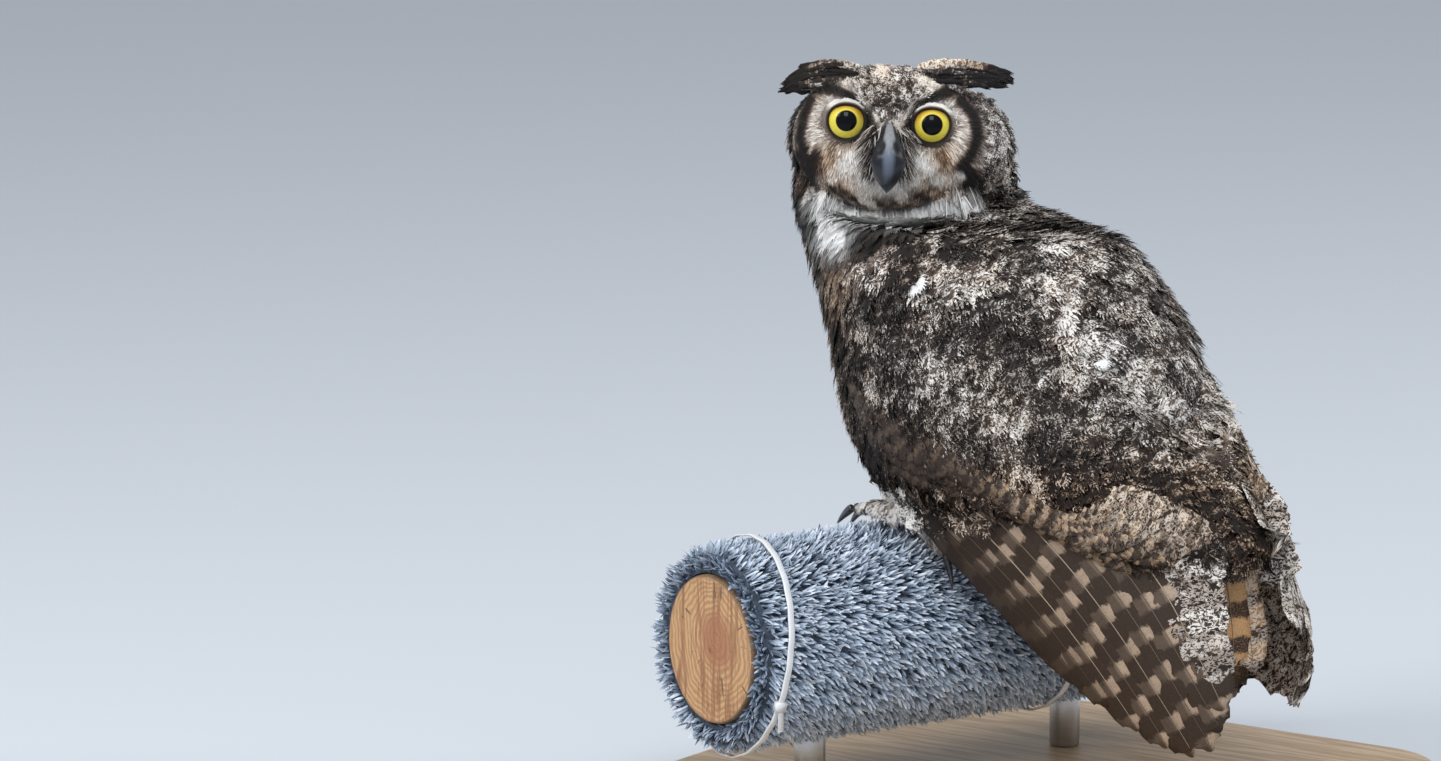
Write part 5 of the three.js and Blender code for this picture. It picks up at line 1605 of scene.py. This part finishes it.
turfLook, tree = newMaterial("turf blades", Specular_IOR_Level=0.6)
tone, luckT, _ = apart(tree, attribute(tree, "blade"))
# painted shade and highlight: low tones are the near-black shade between the blades, high tones a near-white
# highlight
shade = colours(tree, tone, [(0.0, (0.030, 0.042, 0.064)), (0.3, (0.15, 0.20, 0.28)),
    (0.65, (0.40, 0.49, 0.61)), (1.0, (0.82, 0.88, 0.95))])
tinted = blend(tree, times(tree, luckT, 0.30), shade, (0.48, 0.57, 0.70))
wire(tree, tinted, "Base Color")
fleck = noise(tree, position(tree), 700.0, 2.0)
wire(tree, timesPlus(tree, fleck, 0.3, 0.22), "Roughness")


def buildBlades(name, middle, side, out, wide, tone, luck, uv):  # four rows of three points for each blade
    count = middle.shape[1]
    left, right = middle - side * wide[..., None], middle + side * wide[..., None]
    points = np.stack([left, middle + out * (0.35 * wide)[..., None], right], axis=1)
    points = np.moveaxis(points, 2, 0).reshape(-1, 3)
    faces = (gridFaces(4, 3)[None] + (np.arange(count) * 12)[:, None, None]).reshape(-1, 4)
    blade = np.stack([np.clip(tone, 0, 1), luck, luck], axis=-1).reshape(-1, 3)
    piece = addMesh(name, points, [faces], turfLook, np.clip(uv.reshape(-1, 2), 0, 1), {"blade": blade})
    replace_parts(piece, "perch_turf")
    print(name, len(faces) * 2, "triangles")


def makeTurf(name, low, high, count):
    dice = np.random.default_rng(int(high + 500))
    station = dice.uniform(low, high, count)
    angle = dice.uniform(-math.pi, math.pi, count)
    out = roundLog(station * 0, angle, np.ones(count)) - perchMark
    lean = logWay * 0.9 + np.array([0, 0, -0.75]) + 0.55 * dice.normal(size=(count, 3))
    lean = unit(lean - np.sum(lean * out, axis=1, keepdims=True) * out)
    across = np.cross(out, lean)
    base = roundLog(station, angle, np.full(count, 65.5))
    length = perch["bladeLength"] * dice.uniform(0.75, 1.15, count)
    slope = dice.uniform(0.55, 1.0, count)
    curl = dice.uniform(0.2, 1.0, count)
    rows = np.linspace(0, 1, 4)
    forward = rows[:, None] * length * (0.40 + 0.6 * (1 - slope))
    height = length * slope * (rows[:, None] - 0.40 * curl * rows[:, None] ** 2)
    nearTie = np.min([np.abs(station - tieStation(t, angle)) for t in perch["ties"]], axis=0)
    height = np.minimum(height, (10.2 - 2.0 * ramp(9, 2, nearTie)) + dice.normal(size=count) * 0.7)
    middle = base + lean * forward[..., None] + out * height[..., None]
    wide = perch["bladeWidth"] * np.array([0.8, 1.0, 0.95, 0.3])[:, None] * dice.uniform(0.75, 1.2, count)
    twist = dice.normal(size=count) * 0.6 * rows[:, None]
    sideDir = across * np.cos(twist)[..., None] + out * np.sin(twist)[..., None]
    # each blade's tone rises from root to tip: painted shade at the roots and a painted highlight at the
    # tips
    tone = np.repeat(rows * 0.72 + 0.14, 3)[None] + dice.normal(size=count)[:, None] * 0.20
    luck = dice.random(count)[:, None] + 0 * tone
    u = (angle / (2 * math.pi) + 0.5)[:, None] + np.tile([-1, 0, 1], 4)[None] * 0.0012
    v = ((station - perch["near"]) / (perch["far"] - perch["near"]))[:, None] + np.repeat(rows - 0.5,
        3)[None] * 0.0024
    buildBlades(name, middle, sideDir, out, wide, tone, luck, np.stack([u, v], axis=-1))


def makeEndBlades():  # a fringe that stands out of the mat's ends round the wood
    dice = np.random.default_rng(77)
    count = perch["endBlades"]
    end = np.where(np.arange(count) % 2, 1.0, -1.0)
    angle = dice.uniform(-math.pi, math.pi, count)
    out = roundLog(angle * 0, angle, np.ones(count)) - perchMark
    base = roundLog(np.where(end < 0, perch["near"] + 3.5, perch["far"] - 3.5), angle,
        dice.uniform(55.0, 66.0, count))
    way = unit(logWay * end[:, None] * 0.8 + out * dice.uniform(0.1, 0.9, count)[:,
        None] + 0.35 * dice.normal(size=(count, 3)))
    across = unit(np.cross(way, out) + 0.4 * dice.normal(size=(count, 3)))
    rows = np.linspace(0, 1, 4)
    length = dice.uniform(5, 10, count)
    middle = base + way * (rows[:, None] * length)[...,
        None] + out * (1.2 * rows[:, None] ** 2 + 0 * length)[..., None]
    wide = perch["bladeWidth"] * np.array([0.8, 1.0, 0.95, 0.3])[:, None] * dice.uniform(0.75, 1.2, count)
    # each blade's tone rises from root to tip: painted shade at the roots and a painted highlight at the
    # tips
    tone = np.repeat(rows * 0.62 + 0.12, 3)[None] + dice.normal(size=count)[:, None] * 0.18
    luck = dice.random(count)[:, None] + 0 * tone
    u = (angle / (2 * math.pi) + 0.5)[:, None] + 0 * tone
    v = np.where(end < 0, 0.004, 0.996)[:, None] + 0 * tone
    buildBlades("turf_ends", middle, across, out, wide, tone, luck, np.stack([u, v], axis=-1))


makeEndBlades()
cuts = np.linspace(perch["near"] + perch["setback"] + 2, perch["far"] - perch["setback"] - 14, 4)
for number in range(3):
    makeTurf(f"turf_{number + 1}", cuts[number], cuts[number + 1], perch["blades"] // 3)


def sleeve(name, profile, material, columns=96):  # a lathe along the log: station and radius pairs
    turns = ringAngles(columns)
    points = np.concatenate([roundLog(np.full(columns, s), turns, np.full(columns, r)) for s, r in profile])
    rows = len(profile)
    uv = np.stack([np.tile(turns / (2 * math.pi), rows), np.repeat(np.linspace(0.02, 0.98, rows), columns)],
        axis=1)
    piece = addMesh(name, points, [gridFaces(rows, columns, closed=True)], material, uv)
    return piece


matLook, tree = newMaterial("turf backing", Roughness=0.9)
weave = noise(tree, position(tree), 260.0, 3.0)
wire(tree, colours(tree, weave, [(0.3, (0.02, 0.028, 0.045)), (0.7, (0.07, 0.09, 0.13))]), "Base Color")
near, far = perch["near"] + perch["setback"], perch["far"] - perch["setback"]
backing = [(near, 53.6), (near, 64), (near + 2, 66.5), (far - 2, 66.5), (far, 64), (far, 53.6),
    (near, 53.6)]
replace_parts(sleeve("turf_backing", backing, matLook), "perch_turf")

# the log itself: bark round its rim, rings and a reddish heart on its sawn ends
woodLook, tree = newMaterial("sawn log", Roughness=0.62, Specular_IOR_Level=0.3)
wx, wy, wz = apart(tree, attribute(tree, "wood"))  # across the end, up it, along the log
flat = together(tree, wx, wy, times(tree, wz, 0.06))
sway = noise(tree, flat, 0.035, 3.0)
ux = calc(tree, "ADD", wx, 9.0)
uy = calc(tree, "SUBTRACT", wy, 7.0)
radius = calc(tree, "SQRT", timesPlus(tree, ux, ux, times(tree, uy, uy)))
rings = calc(tree, "SINE", timesPlus(tree, sway, 30.0, times(tree, radius, 1.55)))
fibre = noise(tree, flat, 0.55, 4.0, Roughness=0.7)
streaky = noise(tree, stretch(tree, flat, (1.0, 0.09, 1.0)), 0.30, 3.0)
pine = blend(tree, timesPlus(tree, rings, 0.5, 0.5), (0.40, 0.20, 0.085), (0.62, 0.38, 0.19))
pine = blend(tree, between(tree, 0.42, 0.68, streaky), pine, (0.26, 0.10, 0.045))
heart = between(tree, 26.0, 12.0, timesPlus(tree, sway, 14.0, calc(tree, "SUBTRACT", radius, 7.0)))
pine = blend(tree, times(tree, heart, 0.75), pine, (0.30, 0.085, 0.040))
turn = calc(tree, "ARCTAN2", uy, ux)
spoke = together(tree, times(tree, calc(tree, "COSINE", turn), 4.0),
    times(tree, calc(tree, "SINE", turn), 4.0),
    times(tree, radius, 0.02))
crack = noise(tree, spoke, 2.2, 2.0)
pine = blend(tree, times(tree, between(tree, 0.66, 0.70, crack), between(tree, 10.0, 30.0, radius)), pine,
    (0.10, 0.045, 0.02))
rim = calc(tree, "SQRT", timesPlus(tree, wx, wx, times(tree, wy, wy)))
pine = blend(tree, between(tree, 50.3, 51.3, rim), pine,
    blend(tree, fibre, (0.05, 0.028, 0.018), (0.17, 0.10, 0.06)))
wire(tree, blend(tree, times(tree, fibre, 0.35), pine, (0.70, 0.47, 0.27)), "Base Color")
roughen(tree, timesPlus(tree, rings, 0.3, fibre), 0.3, 0.0006)


def makeLog():
    columns = 120
    turns = ringAngles(columns)
    dice = np.random.default_rng(31)
    shell = [(perch["near"], r) for r in np.linspace(0.4, 51.6, 26)] + [(perch["near"] + 0.6, 52.6),
        (perch["near"] + 2.5, 53)]
    shell += [(perch["far"] - 2.5, 53),
        (perch["far"] - 0.6, 52.6)] + [(perch["far"], r) for r in np.linspace(51.6, 0.4, 26)]
    rows = []
    for number, (station, size) in enumerate(shell):
        rough = 0.22 * dice.random(columns) if size < 51 else np.zeros(columns)
        inward = rough if number < 30 else -rough
        ragged = 0.35 * np.sin(turns * 7 + 1) + 0.25 * np.sin(turns * 17) if size > 50 else 0.0
        rows.append(roundLog(station + inward, turns, size - 0.5 + 0.5 * ragged))
    points = np.concatenate(rows)
    local = points - perchMark
    wood = np.stack([local @ logSide, local[:, 2], local @ logWay], axis=1)
    end = np.where(wood[:, 2:] < 0, 0.25, 0.75)
    uv = np.concatenate([end + wood[:, :1] / 240, 0.5 + wood[:, 1:2] / 120], axis=1)
    piece = addMesh("log", points, [gridFaces(len(shell), columns, closed=True)[:, ::-1]], woodLook,
        np.clip(uv, 0, 1), {"wood": wood})
    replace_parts(piece, "perch_log")


makeLog()

tieLook, tree = newMaterial("nylon tie", Roughness=0.35, Specular_IOR_Level=0.45)
tx, ty, _ = apart(tree, attribute(tree, "strap"))  # along the strap, across it
teeth = timesPlus(tree, calc(tree, "SINE", times(tree, tx, 4.2)), 0.5, 0.5)
inside = times(tree, teeth, between(tree, 1.6, 1.2, calc(tree, "ABSOLUTE", ty)))
dirt = noise(tree, attribute(tree, "strap"), 0.15, 3.0)
wire(tree, blend(tree, timesPlus(tree, inside, 0.25, times(tree, dirt, 0.25)), (0.86, 0.87, 0.88),
    (0.58, 0.62, 0.66)), "Base Color")


def makeTie(name, node, at, tailLength):
    heap = Heap()
    # across the strap, out from the log
    section = np.array([(-2.3, 0), (-2.3, 1.0), (-1.7, 1.3), (1.7, 1.3), (2.3, 1.0), (2.3, 0)])
    count = 200
    angle = ringAngles(count)
    rows = [roundLog(tieStation(at, angle) + a, angle,
        75.4 + b + 0.3 * np.sin(angle * 23) + 0 * angle) for a, b in section]
    points = np.stack(rows, axis=1)
    strap = np.stack([np.broadcast_to((angle * 76)[:, None], (count, 6)),
        np.broadcast_to(section[:, 0], (count, 6)), np.zeros((count, 6))], axis=-1)
    ring = gridFaces(count, 6, closed=True)
    join = np.array([[(count - 1) * 6 + i, (count - 1) * 6 + (i + 1) % 6, (i + 1) % 6,
        i] for i in range(6)])
    uv = np.stack([np.broadcast_to((angle / 6.4 + 0.01)[:, None], (count, 6)),
        np.broadcast_to(np.linspace(0.02, 0.3, 6), (count, 6))], axis=-1)
    heap.add(points.reshape(-1, 3), [np.concatenate([ring, join])], np.clip(uv.reshape(-1, 2), 0, 1),
        strap=strap.reshape(-1, 3))
    lock = perch["lockAngle"]
    box = np.array([(a, b, c) for a in (-1, 1) for b in (-1, 1) for c in (-1, 1)], float)
    centre = roundLog(tieStation(at, lock), lock, 76.4)
    outDir = unit(roundLog(0, lock, 1.0) - perchMark)
    roundDir = np.cross(logWay, outDir)
    corners = centre + logWay * box[:, :1] * 3.9 + outDir * box[:, 1:2] * 2.5 + roundDir * box[:, 2:] * 3.4
    boxFaces = np.array([(0, 1, 3, 2), (4, 6, 7, 5), (0, 4, 5, 1), (2, 3, 7, 6), (0, 2, 6, 4),
        (1, 5, 7, 3)])
    heap.add(corners, [boxFaces], np.tile([[0.5, 0.6]], (8, 1)) + box[:, :2] * 0.02,
        strap=np.zeros((8, 3)) + [0, 3, 0])
    t = np.linspace(0, 1, 14)[:, None]  # the loose end past the lock
    side = roundDir * np.sign(roundDir[2]) * -1
    line = centre + side * (3 + tailLength * t) + outDir * (1.2 + 1.6 * np.sin(t * 1.8)) + logWay * (
        3.2 * t)
    wide = np.broadcast_to(logWay, line.shape) * 2.1
    strip = np.stack([line - wide, line - wide + outDir * 1.1, line + wide + outDir * 1.1, line + wide],
        axis=1)
    loose = np.stack([np.broadcast_to(t * tailLength, (14, 4)),
        np.broadcast_to([-2.1, -1.0, 1.0, 2.1], (14, 4)), np.zeros((14, 4))], axis=-1)
    cap = np.array([[0, 1, 2, 3], [55, 54, 53, 52]])
    uvLoose = np.stack([np.broadcast_to(0.02 + 0.3 * t, (14, 4)),
        np.broadcast_to(np.linspace(0.75, 0.95, 4), (14, 4))], axis=-1)
    heap.add(strip.reshape(-1, 3), [gridFaces(14, 4, closed=True)[:, ::-1], cap[:, ::-1]],
        uvLoose.reshape(-1, 2), strap=loose.reshape(-1, 3))
    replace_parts(heap.build(name, tieLook), node)


makeTie("tie_near", "perch_tie_1", perch["ties"][0], 16)
makeTie("tie_far", "perch_tie_2", perch["ties"][1], 16)
print("perch finished")


# display stand

stand = {"size": (462, 484), "thick": 18, "corner": 60, "bevel": 2.5, "rods": (-105, 120), "rodRadius": 11,
    "rodTop": 73.7}

oakLook, tree = newMaterial("oiled oak", Roughness=0.42, Specular_IOR_Level=0.4)
place = position(tree)
drawn = stretch(tree, place, (2.2, 34.0, 34.0))
figure = noise(tree, drawn, 1.0, 4.0, Distortion=1.2)
bands = calc(tree, "SINE", times(tree, figure, 42.0))
pores = noise(tree, stretch(tree, place, (40.0, 900.0, 900.0)), 1.0, 2.0)
oak = blend(tree, timesPlus(tree, bands, 0.5, 0.5), (0.40, 0.27, 0.155), (0.56, 0.41, 0.26))
oak = blend(tree, times(tree, between(tree, 0.58, 0.70, pores), 0.55), oak, (0.20, 0.12, 0.065))
wire(tree, oak, "Base Color")
roughen(tree, pores, 0.15, 0.0004)

steelLook, tree = newMaterial("brushed steel", Metallic=1.0)
place = position(tree)
brushed = noise(tree, stretch(tree, place, (60.0, 60.0, 2600.0)), 1.0, 2.0)
wire(tree, blend(tree, brushed, (0.46, 0.47, 0.49), (0.70, 0.71, 0.73)), "Base Color")
wire(tree, timesPlus(tree, brushed, 0.25, 0.22), "Roughness")


def makeBase():
    outline = []
    halfX, halfY = stand["size"][0] / 2 - stand["corner"], stand["size"][1] / 2 - stand["corner"]
    for number, (sx, sy) in enumerate(((1, 1), (-1, 1), (-1, -1), (1, -1))):
        for a in np.linspace(0, math.pi / 2, 17):
            a = a + number * math.pi / 2
            outline.append((sx * halfX, sy * halfY, math.cos(a), math.sin(a)))
    outline = np.array(outline)
    rim, top = stand["corner"], stand["thick"]
    rounds = [(rim * 0.5, 0), (rim - 1, 0), (rim, 1)]
    for a in np.linspace(0, math.pi / 2, 6):
        rounds.append((rim - stand["bevel"] * (1 - math.cos(a)), top - stand["bevel"] * (1 - math.sin(a))))
    rounds.append((rim * 0.5, top))
    rows = [np.column_stack([outline[:, :2] + outline[:, 2:] * r, np.full(len(outline), z)]) for r,
        z in rounds]
    columns = len(outline)
    rows = [np.array([[0.0, 0, 0]] * columns)] + rows + [np.array([[0.0, 0, top]] * columns)]
    points = np.concatenate(rows)
    uv = np.stack([points[:, 0] / 1000 + np.where(points[:, 2] < top / 2, 0.25, 0.75),
        points[:, 1] / 1000 + 0.5], axis=1)
    return points, gridFaces(len(rows), columns, closed=True), uv


points, faces, uv = makeBase()
plinth = addMesh("stand_plinth", points, [faces], oakLook, uv)
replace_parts(plinth, "stand_base")
for number, station in enumerate(stand["rods"]):
    turns = ringAngles(64)
    foot = perchMark + logWay * station
    low, high = stand["thick"] + 0.3, stand["rodTop"]
    shape = [(0.4, low), (10.0, low), (11.0, low + 1), (11.0, high - 1), (10.0, high), (0.4, high)]
    points = np.concatenate([np.column_stack(
        [foot[0] + r * np.cos(turns), foot[1] + r * np.sin(turns), np.full(64, z)]) for r, z in shape])
    uv = np.stack([np.tile(turns / 6.4, len(shape)), np.repeat(np.linspace(0.02, 0.98, len(shape)), 64)],
        axis=1)
    rod = addMesh(f"stand_pillar_{number + 1}", points, [gridFaces(len(shape), 64, closed=True)], steelLook,
        uv)
    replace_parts(rod, f"stand_rod_{number + 1}")
print("stand finished")
